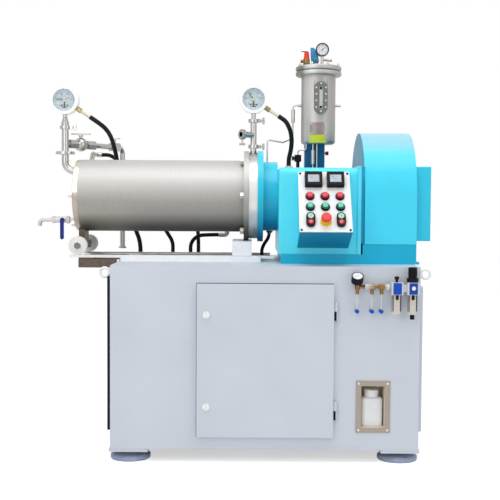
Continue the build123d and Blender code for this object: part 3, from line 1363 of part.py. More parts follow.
# Control desk: a sheet box on the housing with a tilted face
desk_top_y, desk_bottom_y = shaft_y - desk_top_reach, shaft_y - desk_bottom_reach
slant = sqrt((desk_top_y - desk_bottom_y) ** 2 + (desk_top_z - desk_bottom_z) ** 2)
desk_normal = Vector(0, desk_bottom_z - desk_top_z, desk_top_y - desk_bottom_y).normalized()
desk_centre = Vector(desk_x, (desk_top_y + desk_bottom_y) / 2, (desk_top_z + desk_bottom_z) / 2)
with BuildPart() as control_desk:
    with BuildSketch(facing_x(desk_x - desk_width / 2, 0, 0)) as side_face:
        with BuildLine():
            Polyline((desk_top_y, desk_top_z), (desk_bottom_y, desk_bottom_z),
                     (housing_front, desk_back_z), (housing_front, desk_top_z), close=True)
        make_face()
    extrude(side_face.sketch, amount=desk_width)
    hollow = offset(side_face.sketch, -sheet, mode=Mode.PRIVATE).moved(Location((sheet, 0, 0)))
    extrude(hollow, amount=desk_width - 2 * sheet, dir=(1, 0, 0), mode=Mode.SUBTRACT)
    mouth = Plane(origin=desk_centre, x_dir=(1, 0, 0), z_dir=-desk_normal)
    plate(mouth, desk_width - 24, slant - 24, sheet + 2, mode=Mode.SUBTRACT)
control_desk.part.label = "control_desk"
export_step(control_desk.part, "parts/control_desk.step")


# A plane on the desk plate: across from its left edge, down its slant, and out of its face
def on_plate(across, down, out=plate_thickness + slip):
    slant_way = Vector(0, desk_bottom_y - desk_top_y, desk_bottom_z - desk_top_z).normalized()
    origin = desk_centre + Vector(across - desk_width / 2, 0, 0) + slant_way * (down - slant / 2)
    return Plane(origin=origin + desk_normal * out, x_dir=(1, 0, 0), z_dir=desk_normal)


lamp_columns = (41.5, 96, 151)
lamp_rows = (112, 159)
bezel_down = 217
stop_down = 222
with BuildPart() as panel_plate:
    plate(on_plate(desk_width / 2, slant / 2, slip), desk_width, slant, plate_thickness - slip, corner=4)
    for across in (lamp_columns[0], lamp_columns[2]):
        plate(on_plate(across, bezel_down), bezel_width, bezel_height, bezel_depth, corner=16)
        for side in (-1, 1):
            plane = on_plate(across, bezel_down + side * button_spacing / 2, plate_thickness + 2)
            bar(plane, button_radius + seat_gap, bezel_depth, mode=Mode.SUBTRACT)
    bar(on_plate(lamp_columns[1], stop_down), stop_base_radius, stop_base_height)
    bar(on_plate(lamp_columns[1], stop_down, plate_thickness + stop_base_height), 15, 10,
        stop_stem_radius + seat_gap)
    bar(on_plate(lamp_columns[1], stop_down, plate_thickness + 2), stop_stem_radius + seat_gap, 10,
        mode=Mode.SUBTRACT)
panel_plate.part.label = "panel_plate"
export_step(panel_plate.part, "parts/panel_plate.step")

# Meters and pilot lamps
with BuildPart() as panel_indicators:
    for across in (56, 137):
        plate(on_plate(across, 42), meter_width, meter_height, meter_depth, corner=3)
        plate(on_plate(across, 42, plate_thickness + meter_depth - 2), 43, 35, 4, mode=Mode.SUBTRACT)
    for down in lamp_rows:
        for across in lamp_columns:
            bar(on_plate(across, down), lamp_radius, 5)
            with BuildPart(mode=Mode.PRIVATE) as dome:
                bar(on_plate(across, down, plate_thickness + 5), lamp_radius - 2, lamp_height - 5)
                top = dome.faces().sort_by(lambda f: (f.center() - desk_centre).dot(desk_normal))[-1]
                fillet(top.edges(), 7)
            add(dome.part)
panel_indicators.part.label = "panel_indicators"
export_step(panel_indicators.part, "parts/panel_indicators.step")


# A push button standing in its well, free to go down by its travel
def push_button(across, side):
    start = plate_thickness + 2 + press_travel + 0.5
    plane = on_plate(across, bezel_down + side * button_spacing / 2, start)
    bar(plane, button_radius, plate_thickness + bezel_depth + 2.5 - start)


with BuildPart() as left_start_button:
    push_button(lamp_columns[0], -1)
left_start_button.part.label = "left_start_button"
export_step(left_start_button.part, "parts/left_start_button.step")

with BuildPart() as left_stop_button:
    push_button(lamp_columns[0], 1)
left_stop_button.part.label = "left_stop_button"
export_step(left_stop_button.part, "parts/left_stop_button.step")

with BuildPart() as right_start_button:
    push_button(lamp_columns[2], -1)
right_start_button.part.label = "right_start_button"
export_step(right_start_button.part, "parts/right_start_button.step")

with BuildPart() as right_stop_button:
    push_button(lamp_columns[2], 1)
right_stop_button.part.label = "right_stop_button"
export_step(right_stop_button.part, "parts/right_stop_button.step")

with BuildPart() as estop_button:
    head_out = plate_thickness + stop_base_height + 10 + stop_travel + 0.5
    bar(on_plate(lamp_columns[1], stop_down, plate_thickness + 7), stop_stem_radius,
        head_out - plate_thickness - 7)
    bar(on_plate(lamp_columns[1], stop_down, head_out), stop_head_radius, stop_head_height)
    top = estop_button.faces().sort_by(lambda f: (f.center() - desk_centre).dot(desk_normal))[-1]
    fillet(top.edges(), 6)
estop_button.part.label = "estop_button"
export_step(estop_button.part, "parts/estop_button.step")

# Air preparation: lubricator and filter-regulator with their bowls
air_bottom = air_top - air_body_height
air_y = cabinet_front - 4 - air_body_depth / 2
with BuildPart() as air_preparation:
    for x in (lubricator_x, regulator_x):
        plate(facing_z(x, air_y, air_bottom), air_body_width, air_body_depth, air_body_height, corner=4)
        block(x - 14, x + 14, air_y, cabinet_front, air_bottom + 8, air_top - 8)
        with BuildPart(mode=Mode.PRIVATE) as bowl:
            bar(facing_z(x, air_y, air_bottom - bowl_height), bowl_radius, bowl_height - slip)
            fillet(bowl.edges().group_by(Axis.Z)[0], 6)
        add(bowl.part)
    block(lubricator_x, regulator_x, air_y - 13, air_y + 13, air_bottom + 9, air_top - 9)
    bar(facing_z(regulator_x, air_y, air_bottom - bowl_height - 17), 8, 17)
    bar(facing_z(regulator_x, air_y, air_top), collar_radius, 15)
    bar(facing_z(lubricator_x, air_y, air_top), 5, 10)
    bar(facing_z(lubricator_x, air_y, air_top + 10), 8, 10)
    bar(facing_front(regulator_x, air_y - air_body_depth / 2, air_top - 20), 10, 5)
    bar(toward((regulator_x + air_body_width / 2, air_y, air_top - 22), (-1, 0, 0)), 5.7, 14,
        mode=Mode.SUBTRACT)
air_preparation.part.label = "air_preparation"
export_step(air_preparation.part, "parts/air_preparation.step")

with BuildPart() as regulator_knob:
    bar(facing_z(regulator_x, air_y, air_top + 15 + seat_gap), knob_radius, knob_height)
    fillet(regulator_knob.edges().group_by(Axis.Z)[-1], 3)
regulator_knob.part.label = "regulator_knob"
export_step(regulator_knob.part, "parts/regulator_knob.step")

# Air manifold: brass run with a gauge, a valve, two tees, and the tubes down to the bulkhead fittings
run_z = air_top - 17
run_right = lubricator_x - air_body_width / 2 - slip
with BuildPart() as air_manifold:
    bar(facing_x(air_gauge_x, air_y, run_z), 6, run_right - air_gauge_x)
    bar(facing_z(air_gauge_x, air_y, run_z - 10), 9, 28)
    bar(Plane(origin=(air_gauge_x, air_y + 8, run_z + 18), z_dir=(0, -0.6, 0.8)), 21.5, 26)
    bar(facing_x(494, air_y, run_z), 10, 20)
    hexagon(facing_x(570, air_y, run_z), 20, 12)
    for x in (air_gauge_x, *air_fitting_places):
        if x != air_gauge_x:
            bar(facing_x(x - 10, air_y, run_z), 10, 20)
        bar(facing_z(x, air_y, run_z - 26), 6.5, 20)
        bar(facing_z(x, air_y, bulkhead_z), air_tube_radius, run_z - 26 - bulkhead_z)
        bar(facing_front(x, cabinet_front, bulkhead_z), bulkhead_radius, cabinet_front - air_y + 7)
        bar(facing_front(x, cabinet_front, bulkhead_z), bulkhead_radius + 1.5, 4)
air_manifold.part.label = "air_manifold"
export_step(air_manifold.part, "parts/air_manifold.step")
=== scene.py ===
from math import cos, pi, radians, sin

import bpy
from mathutils import Matrix, Vector


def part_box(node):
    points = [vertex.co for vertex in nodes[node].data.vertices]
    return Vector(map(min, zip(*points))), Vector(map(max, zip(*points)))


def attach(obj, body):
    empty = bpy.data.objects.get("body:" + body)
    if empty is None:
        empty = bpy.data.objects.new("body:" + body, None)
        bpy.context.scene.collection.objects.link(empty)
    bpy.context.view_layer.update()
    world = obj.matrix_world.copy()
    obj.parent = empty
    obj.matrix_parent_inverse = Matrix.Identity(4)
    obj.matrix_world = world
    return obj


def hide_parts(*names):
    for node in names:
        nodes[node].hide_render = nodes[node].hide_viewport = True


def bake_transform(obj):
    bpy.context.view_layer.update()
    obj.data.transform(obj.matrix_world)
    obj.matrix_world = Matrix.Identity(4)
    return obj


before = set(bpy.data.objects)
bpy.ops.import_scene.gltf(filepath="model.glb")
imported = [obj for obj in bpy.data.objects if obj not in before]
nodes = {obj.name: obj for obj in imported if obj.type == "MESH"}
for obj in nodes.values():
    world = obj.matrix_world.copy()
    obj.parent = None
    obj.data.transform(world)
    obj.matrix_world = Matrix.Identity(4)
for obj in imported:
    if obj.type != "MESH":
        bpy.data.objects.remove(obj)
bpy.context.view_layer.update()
print("frame loaded:", len(nodes), "nodes")

# Finishes, in families: the values a family shares, then each finish with what is its own.
# Colours are written as they look, 0 to 255, and bump is a height in metres.
finishFamilies = (
    # Paint on sheet and castings
    ({"rough": 0.5, "tint": 0.05, "grain": 6, "bump": 0.00016, "pores": 260}, {
        "cabinetPaint": {"colour": (207, 214, 224), "rough": 0.42, "tint": 0.03, "grain": 5,
                         "bump": 0.00012, "pores": 420},
        "basePaint": {"colour": (150, 160, 172), "tint": 0.08, "grain": 9, "bump": 0.0002, "pores": 300},
        "leftPanelShade": {"colour": (20, 21, 27), "tint": 0.1, "grain": 20, "bump": 0.0002, "pores": 500,
                      "specular": 0.15},
        "turquoise": {"colour": (68, 219, 248), "rough": 0.3, "tint": 0.04, "coat": 0.1, "specular": 0.35},
        "turquoiseLit": {"colour": (90, 233, 253), "rough": 0.3, "tint": 0.04, "coat": 0.1,
                            "specular": 0.35},
        "turquoiseShade": {"colour": (14, 180, 216), "rough": 0.34, "coat": 0.1, "specular": 0.3},
        "turquoiseSide": {"colour": (50, 202, 232), "rough": 0.34, "coat": 0.1, "specular": 0.3},
        "deskShade": {"colour": (24, 138, 176), "rough": 0.4, "specular": 0.2},
        "guardLeftShade": {"colour": (70, 148, 174), "rough": 0.45, "tint": 0.06, "grain": 8, "pores": 240},
        "postShadeBlue": {"colour": (6, 86, 128), "rough": 0.4, "tint": 0.1, "grain": 14, "bump": 0.0002,
                     "pores": 300, "specular": 0.2},
        "motorBlue": {"colour": (58, 96, 138), "rough": 0.45, "tint": 0.08, "grain": 14, "bump": 0.0005,
                      "pores": 240, "specular": 0.3},
    }),
    # Brushed and polished steel, brass and bronze
    ({"rough": 0.36, "metal": 0.8, "tint": 0.05, "grain": 60, "bump": 0.0001, "pores": 700,
      "roughSpread": 0.1}, {
        "brushedSteel": {"colour": (196, 195, 193), "rough": 0.56, "metal": 0.62, "tint": 0.03,
                         "stretch": (4, 0.5, 0.5), "bump": 0.00003, "pores": 160, "roughSpread": 0.06},
        "ringSteel": {"colour": (216, 214, 211), "tint": 0.04, "grain": 40, "stretch": (6, 0.5, 0.5),
                      "bump": 0.00004, "pores": 300, "roughSpread": 0.08},
        "potSteel": {"colour": (204, 202, 200), "rough": 0.46, "metal": 0.55, "grain": 50,
                     "stretch": (0.3, 0.3, 6), "bump": 0.00008, "pores": 260},
        "recessFrame": {"colour": (168, 157, 144), "rough": 0.4, "metal": 0.15, "stretch": (0.4, 0.4, 8),
                        "bump": 0.00006, "pores": 300, "roughSpread": 0.14},
        "recessSteelLit": {"colour": (236, 223, 206), "rough": 0.4, "metal": 0.15, "stretch": (0.4, 0.4, 8),
                        "bump": 0.00006, "pores": 300, "roughSpread": 0.14},
        "polishedSteel": {"colour": (176, 174, 171), "rough": 0.2, "metal": 1.0, "grain": 25,
                          "bump": 0.00003, "pores": 500},
        "castSteel": {"colour": (198, 192, 186), "tint": 0.12, "bump": 0.0003, "roughSpread": 0.2},
        "boltSteel": {"colour": (196, 192, 186), "rough": 0.28, "metal": 1.0, "tint": 0.12, "grain": 90,
                      "bump": 0.00008, "pores": 900, "roughSpread": 0.2},
        "coverSteel": {"colour": (226, 216, 204), "rough": 0.3, "metal": 0.75, "grain": 40, "bump": 0.00005,
                       "pores": 400},
        "coverShade": {"colour": (174, 163, 152), "rough": 0.32, "metal": 0.75, "grain": 40,
                       "bump": 0.00005, "pores": 400},
        "bracketBrown": {"colour": (98, 86, 76), "rough": 0.5, "metal": 0.5, "tint": 0.2, "grain": 50,
                         "bump": 0.0004, "pores": 500, "roughSpread": 0.15},
        "plateBrown": {"colour": (142, 130, 126), "rough": 0.35, "metal": 0.6, "tint": 0.14, "grain": 44,
                       "bump": 0.00008, "pores": 400, "roughSpread": 0.15},
        "sightSteel": {"colour": (116, 115, 110), "rough": 0.4, "metal": 0.5, "tint": 0.1, "pores": 500,
                       "roughSpread": 0.12},
        "brass": {"colour": (164, 142, 106), "rough": 0.3, "metal": 0.9, "tint": 0.14, "grain": 70,
                  "roughSpread": 0.2},
        "fittingBronze": {"colour": (132, 103, 64), "rough": 0.32, "tint": 0.16, "grain": 80,
                          "roughSpread": 0.15},
        "fittingBrown": {"colour": (138, 100, 60), "metal": 0.7, "tint": 0.16, "grain": 80,
                         "roughSpread": 0.15},
        "airSilver": {"colour": (206, 208, 208), "rough": 0.35, "metal": 0.3, "pores": 600,
                      "roughSpread": 0.06},
    }),
    # White and pale pieces
    ({"rough": 0.45, "tint": 0.03, "grain": 40, "bump": 0.0001, "pores": 500}, {
        "whiteSteel": {"colour": (248, 248, 250), "rough": 0.34, "tint": 0.04, "grain": 30},
        "whiteEnamel": {"colour": (252, 253, 254), "rough": 0.3, "grain": 20, "pores": 400, "coat": 0.3},
        "panelWhite": {"colour": (238, 240, 243), "rough": 0.36, "tint": 0.02, "grain": 12, "bump": 0.00006},
        "nylon": {"colour": (238, 238, 234), "rough": 0.42, "tint": 0.04, "grain": 30, "bump": 0.00015,
                  "pores": 380, "subsurface": 0.15},
        "bottleWhite": {"colour": (232, 236, 238), "rough": 0.4, "grain": 26, "bump": 0.0002, "pores": 180,
                        "subsurface": 0.25},
        "cream": {"colour": (228, 220, 196), "tint": 0.06, "pores": 600},
        "labelLime": {"colour": (202, 208, 40), "tint": 0.08, "grain": 36, "bump": 0.00005},
        "sightPale": {"colour": (208, 212, 212), "rough": 0.2, "tint": 0.08, "grain": 36, "bump": 0.00003,
                      "pores": 400, "coat": 0.7},
        "dialFace": {"colour": (206, 222, 228), "rough": 0.5, "bump": 0.00002},
        "dialWhite": {"colour": (236, 240, 244), "rough": 0.5, "bump": 0.00002},
        "screenGrey": {"colour": (170, 182, 194), "rough": 0.22, "tint": 0.1, "grain": 22, "bump": 0.00002,
                       "coat": 0.2},
    }),
    # Plastic, rubber and dark marks
    ({"rough": 0.5, "tint": 0.1, "grain": 50, "bump": 0.0002, "pores": 900, "specular": 0.15}, {
        "blackPlastic": {"colour": (17, 17, 20), "rough": 0.4, "tint": 0.15, "specular": 0.12},
        "greyPlastic": {"colour": (46, 48, 56), "rough": 0.45},
        "hoseRubber": {"colour": (20, 20, 22), "tint": 0.25, "grain": 120, "bump": 0.0003, "pores": 1100,
                       "specular": 0.18},
        "beltRubber": {"colour": (26, 25, 24), "rough": 0.75, "tint": 0.3, "grain": 150, "bump": 0.0005},
        "footRubber": {"colour": (154, 167, 194), "rough": 0.6, "tint": 0.12, "grain": 40, "bump": 0.0004,
                       "pores": 600, "specular": 0.5},
        "doorShadowDark": {"colour": (52, 54, 58), "rough": 0.7, "tint": 0.12, "grain": 60, "bump": 0.0003,
                   "pores": 700, "specular": 0.2},
        "dialInk": {"colour": (26, 28, 34), "grain": 90, "bump": 0.00002, "pores": 700, "specular": 0.2},
    }),
    # Coloured knobs, levers and buttons
    ({"rough": 0.35, "tint": 0.08, "grain": 60, "bump": 0.0001, "pores": 600, "specular": 0.3}, {
        "gaugeNavy": {"colour": (30, 42, 62), "rough": 0.25, "coat": 0.1},
        "airBlue": {"colour": (18, 76, 190), "rough": 0.36, "tint": 0.1, "grain": 50, "bump": 0.0002,
                    "pores": 700, "specular": 0.25},
        "navyLever": {"colour": (24, 44, 134), "rough": 0.42, "tint": 0.12, "bump": 0.0003, "specular": 0.25},
        "valveBlue": {"colour": (34, 116, 158), "tint": 0.1, "bump": 0.0002},
        "leverBlue": {"colour": (70, 158, 202), "rough": 0.38, "bump": 0.0002},
        "signalRed": {"colour": (226, 52, 40), "rough": 0.34, "coat": 0.1},
        "knobRed": {"colour": (196, 24, 34), "rough": 0.36, "tint": 0.12, "grain": 70, "bump": 0.0002,
                    "specular": 0.25},
        "stopRed": {"colour": (232, 62, 56), "rough": 0.33, "tint": 0.06, "pores": 500, "coat": 0.1},
        "buttonRed": {"colour": (178, 24, 34), "pores": 500, "specular": 0.25},
        "buttonGreen": {"colour": (158, 214, 190), "tint": 0.05, "pores": 500, "specular": 0.5},
        "stopYellow": {"colour": (236, 202, 38), "rough": 0.4, "tint": 0.06, "pores": 500},
    }),
    # Lamps
    ({"rough": 0.14, "tint": 0.25, "grain": 170, "bump": 0.0003, "pores": 320, "coat": 0.15,
      "specular": 0.3}, {
        "lampRed": {"colour": (182, 12, 28)},
        "lampGreen": {"colour": (0, 112, 80), "specular": 0.35},
        "lampRedHighlight": {"colour": (222, 66, 78), "rough": 0.2, "tint": 0.2, "coat": 0.1},
        "lampGreenHighlight": {"colour": (98, 206, 178), "rough": 0.2, "tint": 0.2, "coat": 0.1},
    }),
)
# What a finish has where nothing else is said
plainLook = {"metal": 0.0, "roughSpread": 0.06, "stretch": (1, 1, 1), "coat": 0.0, "specular": 0.5,
             "subsurface": 0.0}
finishes = {name: {**plainLook, **family, **own}
            for family, group in finishFamilies for name, own in group.items()}


# A colour as it looks, made the linear values that a material reads
def asLinear(colour):
    def linear(c):
        return c / 255 / 12.92 if c <= 10 else ((c / 255 + 0.055) / 1.055) ** 2.4
    return (*(linear(c) for c in colour), 1.0)


# Fills a node's inputs: a socket is linked to its input, any other value is set
def feed(node, inputs):
    for slot, value in inputs.items():
        if isinstance(value, bpy.types.NodeSocket):
            node.id_data.links.new(value, node.inputs[slot])
        else:
            node.inputs[slot].default_value = value


# Adds a shader node with its settings, then fills its inputs
def addNode(tree, kind, inputs, **settings):
    node = tree.nodes.new("ShaderNode" + kind)
    for setting, value in settings.items():
        setattr(node, setting, value)
    feed(node, inputs)
    return node


def newMaterial(name):
    material = bpy.data.materials.new(name)
    material.use_nodes = True
    return material, material.node_tree


# One finish: two close tints on a grain, its own sheen spread, fine pores and a softened edge
cloudDetail = {"tint": 5, "sheen": 4, "pores": 3}
surface = {"cloudLow": 0.3, "cloudHigh": 0.7, "sheenScale": 2.3, "edgeRadius": 0.0012, "edgeSamples": 4,
           "bumpStrength": 0.5, "coatRough": 0.12, "subsurfaceDepth": 0.004}


def makeFinish(name, look):
    material, tree = newMaterial(name)
    place = addNode(tree, "TexCoord", {}).outputs["Object"]
    stretched = addNode(tree, "Mapping", {"Vector": place, "Scale": look["stretch"]}).outputs["Vector"]

    def cloud(scale, use):
        inputs = {"Vector": stretched, "Scale": scale, "Detail": cloudDetail[use]}
        return addNode(tree, "TexNoise", inputs).outputs[0]

    def spread(value, low, high):
        inputs = {"Value": value, "From Min": surface["cloudLow"], "From Max": surface["cloudHigh"],
                  "To Min": low, "To Max": high}
        return addNode(tree, "MapRange", inputs).outputs["Result"]

    base, tint = asLinear(look["colour"])[:3], look["tint"]
    darker = [c * (1 - tint) for c in base] + [1]
    paler = [min(c * (1 + tint), 1) for c in base] + [1]
    tints = {0: spread(cloud(look["grain"], "tint"), 0, 1), 6: darker, 7: paler}
    colour = addNode(tree, "Mix", tints, data_type="RGBA").outputs[2]
    rough, half = look["rough"], look["roughSpread"] / 2
    sheen = spread(cloud(look["grain"] * surface["sheenScale"], "sheen"), rough - half, rough + half)
    edge = addNode(tree, "Bevel", {"Radius": surface["edgeRadius"]}, samples=surface["edgeSamples"])
    bump = addNode(tree, "Bump", {"Height": cloud(look["pores"], "pores"), "Normal": edge.outputs["Normal"],
                                  "Strength": surface["bumpStrength"], "Distance": look["bump"]})
    feed(tree.nodes["Principled BSDF"], {
        "Base Color": colour, "Roughness": sheen, "Normal": bump.outputs["Normal"], "Metallic": look["metal"],
        "Specular IOR Level": look["specular"], "Coat Weight": look["coat"],
        "Coat Roughness": surface["coatRough"], "Subsurface Weight": look["subsurface"],
        "Subsurface Scale": surface["subsurfaceDepth"]})
    return material


skin = {name: makeFinish(name, look) for name, look in finishes.items()}

# Clear stuff: a share of it lets what is behind show, the rest is a glossy pale skin
clearStuff = {
    "gaugeGlass": {"colour": (244, 248, 250), "rough": 0.03, "grain": 12, "cover": 0.05},
    "clearBowl": {"colour": (238, 230, 216), "rough": 0.12, "grain": 60, "cover": 0.62},
    "clearTube": {"colour": (222, 228, 232), "rough": 0.15, "grain": 80, "cover": 0.45},
}
clearSkin = {"roughSpread": 0.08, "coat": 0.5, "rimBlend": 0.25, "rimCover": 0.5}


def makeClear(name, look):
    material, tree = newMaterial(name)
    shader = tree.nodes["Principled BSDF"]
    place = addNode(tree, "TexCoord", {}).outputs["Object"]
    cloud = addNode(tree, "TexNoise", {"Vector": place, "Scale": look["grain"]}).outputs[0]
    sheen = addNode(tree, "MapRange", {"Value": cloud, "To Min": look["rough"],
                                       "To Max": look["rough"] + clearSkin["roughSpread"]})
    feed(shader, {"Base Color": asLinear(look["colour"]), "Roughness": sheen.outputs["Result"],
                  "Coat Weight": clearSkin["coat"]})
    rim = addNode(tree, "LayerWeight", {"Blend": clearSkin["rimBlend"]}).outputs["Facing"]
    cover = addNode(tree, "MapRange", {"Value": rim, "To Min": look["cover"],
                                       "To Max": min(look["cover"] + clearSkin["rimCover"], 1)})
    through = addNode(tree, "BsdfTransparent", {})
    mix = addNode(tree, "MixShader", {0: cover.outputs["Result"], 1: through.outputs[0],
                                      2: shader.outputs[0]})
    feed(tree.nodes["Material Output"], {"Surface": mix.outputs[0]})
    return material


for name, look in clearStuff.items():
    skin[name] = makeClear(name, look)


# A copy of a finish, with its tree, the node that places its pattern, and its colour
def variantOf(source, name):
    material = skin[source].copy()
    material.name = name
    tree = material.node_tree
    place = next(n for n in tree.nodes if n.type == "TEX_COORD")
    return material, tree, place, tree.nodes["Principled BSDF"].inputs["Base Color"].links[0].from_socket


# A finish with painted light and shade along one axis: each stop is a share of the way from low to high and a
# colour laid over it
def shadeAlong(source, name, axis, low, high, stops):
    material, tree, place, colour = variantOf(source, name)
    spot = addNode(tree, "SeparateXYZ", {0: place.outputs["Object"]})
    share = addNode(tree, "MapRange", {"Value": spot.outputs[axis], "From Min": low, "From Max": high})
    shade = addNode(tree, "ValToRGB", {0: share.outputs["Result"]})
    ramp = shade.color_ramp.elements
    for stop, (at, tone) in zip((ramp[0], ramp[1]), (stops[0], stops[-1])):
        stop.position = at
        stop.color = asLinear(tone)
    for at, tone in stops[1:-1]:
        ramp.new(at).color = asLinear(tone)
    mix = addNode(tree, "Mix", {0: 1.0, 6: colour, 7: shade.outputs[0]}, data_type="RGBA",
                  blend_type="MULTIPLY")
    feed(tree.nodes["Principled BSDF"], {"Base Color": mix.outputs[2]})
    return material


# A finish with a painted highlight where it faces up, in streaks along X
streaks = {"stretch": (0.5, 16, 16), "scale": 5, "detail": 2, "low": 0.35, "high": 0.65, "least": 0.55,
           "most": 0.95}


def highlightTop(source, name, highlight, start, full):
    material, tree, place, colour = variantOf(source, name)
    facing = addNode(tree, "SeparateXYZ", {0: place.outputs["Normal"]})
    rise = addNode(tree, "MapRange", {"Value": facing.outputs["Z"], "From Min": start, "From Max": full},
                   interpolation_type="SMOOTHSTEP")
    drawn = addNode(tree, "Mapping", {"Vector": place.outputs["Object"], "Scale": streaks["stretch"]})
    streak = addNode(tree, "TexNoise", {"Vector": drawn.outputs["Vector"], "Scale": streaks["scale"],
                                        "Detail": streaks["detail"]})
    strength = addNode(tree, "MapRange", {"Value": streak.outputs[0], "From Min": streaks["low"],
                                          "From Max": streaks["high"], "To Min": streaks["least"],
                                          "To Max": streaks["most"]})
    amount = addNode(tree, "Math", {0: rise.outputs["Result"], 1: strength.outputs["Result"]},
                     operation="MULTIPLY")
    mix = addNode(tree, "Mix", {0: amount.outputs[0], 6: colour, 7: asLinear(highlight)}, data_type="RGBA")
    feed(tree.nodes["Principled BSDF"], {"Base Color": mix.outputs[2]})
    return material


# Painted light and shade: jacket and neck darken towards the foot and pale towards the top, the pot has a
# painted highlight band left of its middle and painted shade at its left edge
flangeLow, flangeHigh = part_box("feed_ring")
shaftLine = Vector((0, (flangeLow.y + flangeHigh.y) / 2, (flangeLow.z + flangeHigh.z) / 2))
barrelLow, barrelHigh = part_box("inner_barrel")
jacketWall = 0.0215
jacketRadius = (barrelHigh.z - barrelLow.z) / 2 + jacketWall
neckLow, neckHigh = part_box("seal_neck")
potLow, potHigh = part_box("seal_pot")
potAxis = Vector(((potLow.x + potHigh.x) / 2, (potLow.y + potHigh.y) / 2, potLow.z))
potRadius = 0.0695
potFace = potAxis.y - potRadius
jacketShade = ((0.0, (125, 121, 115)), (0.067, (137, 133, 126)), (0.157, (180, 176, 168)),
               (0.257, (214, 210, 203)), (0.40, (207, 205, 200)), (0.54, (224, 222, 219)),
               (0.76, (248, 248, 247)), (1.0, (250, 250, 250)))
neckShade = ((0.0, (20, 112, 150)), (0.03, (26, 122, 158)), (0.147, (10, 174, 195)), (0.294, (26, 210, 217)),
             (0.515, (103, 230, 230)), (0.81, (215, 241, 238)), (1.0, (255, 255, 252)))
potShade = ((0.0, (172, 170, 166)), (0.09, (245, 244, 243)), (0.2, (255, 255, 255)),
            (0.32, (244, 243, 242)), (0.44, (220, 218, 215)), (1.0, (217, 214, 209)))
guardHighlight = {"colour": (166, 215, 230), "start": 0.6, "full": 0.84}
skin["jacketSteelShaded"] = shadeAlong("brushedSteel", "jacketSteelShaded", "Z", shaftLine.z - jacketRadius,
                                 shaftLine.z + jacketRadius, jacketShade)
skin["neckTurquoiseShaded"] = shadeAlong("turquoise", "neckTurquoiseShaded", "Z", neckLow.z, neckHigh.z, neckShade)
skin["potSteelShaded"] = shadeAlong("potSteel", "potSteelShaded", "X", potAxis.x - potRadius, potAxis.x + potRadius,
                             potShade)
skin["guardTurquoiseHighlit"] = highlightTop("turquoise", "guardTurquoiseHighlit", guardHighlight["colour"], guardHighlight["start"],
                                 guardHighlight["full"])
print("finishes made:", len(skin))


# Far is past every face, and hair is a length too small to matter
far = 9.0
hair = 0.0001


# A place is a box, which leaves out the axes that are free, or a test of a face's middle and normal
def isAt(place, c, n):
    if callable(place):
        return place(c, n)
    return all(low < c["xyz".index(axis)] < high for axis, (low, high) in place.items())


# Gives a CAD node its finishes: the first all over, then each other finish at its places
def dress(nodeName, finish, *parts):
    mesh = nodes[nodeName].data
    mesh.materials.clear()
    for name in (finish, *(part[0] for part in parts)):
        mesh.materials.append(skin[name])
    for face in mesh.polygons:
        face.material_index = 0
        for slot, (name, *places) in enumerate(parts, 1):
            if any(isAt(place, face.center, face.normal) for place in places):
                face.material_index = slot


# Holds within a radius of a line along an axis, between two ends
def roundAxis(point, radius, low, high, axis):
    others = [i for i in range(3) if i != axis]

    def here(c, n):
        off = sum((c[i] - point[i]) ** 2 for i in others) ** 0.5
        return off < radius and low <= c[axis] <= high
    return here


# The two ends of a length round its middle
def around(middle, whole):
    return middle - whole / 2, middle + whole / 2


# Cabinet, base and feet
shellLow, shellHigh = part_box("cabinet_shell")
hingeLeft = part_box("door_hinges")[0].x
cabinet = {"deckEdge": 0.009, "hingeShadow": 0.0075, "lockHead": 0.018, "frameLip": 0.0002,
           "frameScrew": 0.0031, "rubberTop": 0.026, "nutTop": 0.036}
dress("cabinet_frame", "basePaint", ("cabinetPaint", {"z": (shellHigh.z - cabinet["deckEdge"], far)}))
dress("cabinet_shell", "cabinetPaint")
# The left service panel is near black: painted shade on the side away from the light
dress("service_panels", "cabinetPaint", ("leftPanelShade", {"x": (-far, shellLow.x + hair)}))
dress("front_door", "cabinetPaint")
# The hinges' left strip is black: painted shadow
dress("door_hinges", "cabinetPaint",
      ("blackPlastic", {"x": (-far, hingeLeft + cabinet["hingeShadow"])}))
for lock in ("door_lock_upper", "door_lock_lower"):
    dress(lock, "whiteSteel", ("castSteel", {"y": (shellLow.y - cabinet["lockHead"], far)}))
dress("levelling_feet", "cabinetPaint",
      ("footRubber", {"z": (-far, cabinet["rubberTop"])}),
      ("boltSteel", {"z": (cabinet["rubberTop"], cabinet["nutTop"])}))
dress("lifting_eyes", "whiteSteel")
# Inside the recess the steel is paler than on its frame: painted light against the shade in the recess
dress("bottle_recess", "recessSteelLit",
      ("recessFrame", {"y": (-far, shellLow.y + cabinet["frameLip"])}),
      ("whiteSteel", {"y": (-far, shellLow.y - cabinet["frameScrew"])}))
dress("bottle", "bottleWhite")
dress("bottle_cap", "bottleWhite")

# Drive side
guardLow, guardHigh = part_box("belt_guard")
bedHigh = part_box("machine_bed")[1]
housingLow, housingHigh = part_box("bearing_housing")
guard = {"cover": 0.056, "mouth": 0.004, "mouthFacing": 0.7}
housing = {"frontFacing": -0.2, "postFoot": 1.0762, "postFront": 0.08}
neckRing = {"radius": 0.0625, "inset": 0.001}
motor = {"axis": (0, 0.023, 0.296), "insideRadius": 0.16, "fan": 0.036}
# The guard's left face is a greyer, darker blue: painted shade
dress("belt_guard", "guardTurquoiseHighlit",
      ("guardLeftShade", lambda c, n: (abs(c.x - guardLow.x) < guard["mouth"]
                                    and abs(n.x) > guard["mouthFacing"])),
      ("turquoiseSide", {"x": (guardHigh.x - guard["cover"] - hair, far)}))
# The bed is a darker turquoise: painted shade under the guard and housing
dress("machine_bed", "turquoiseShade")
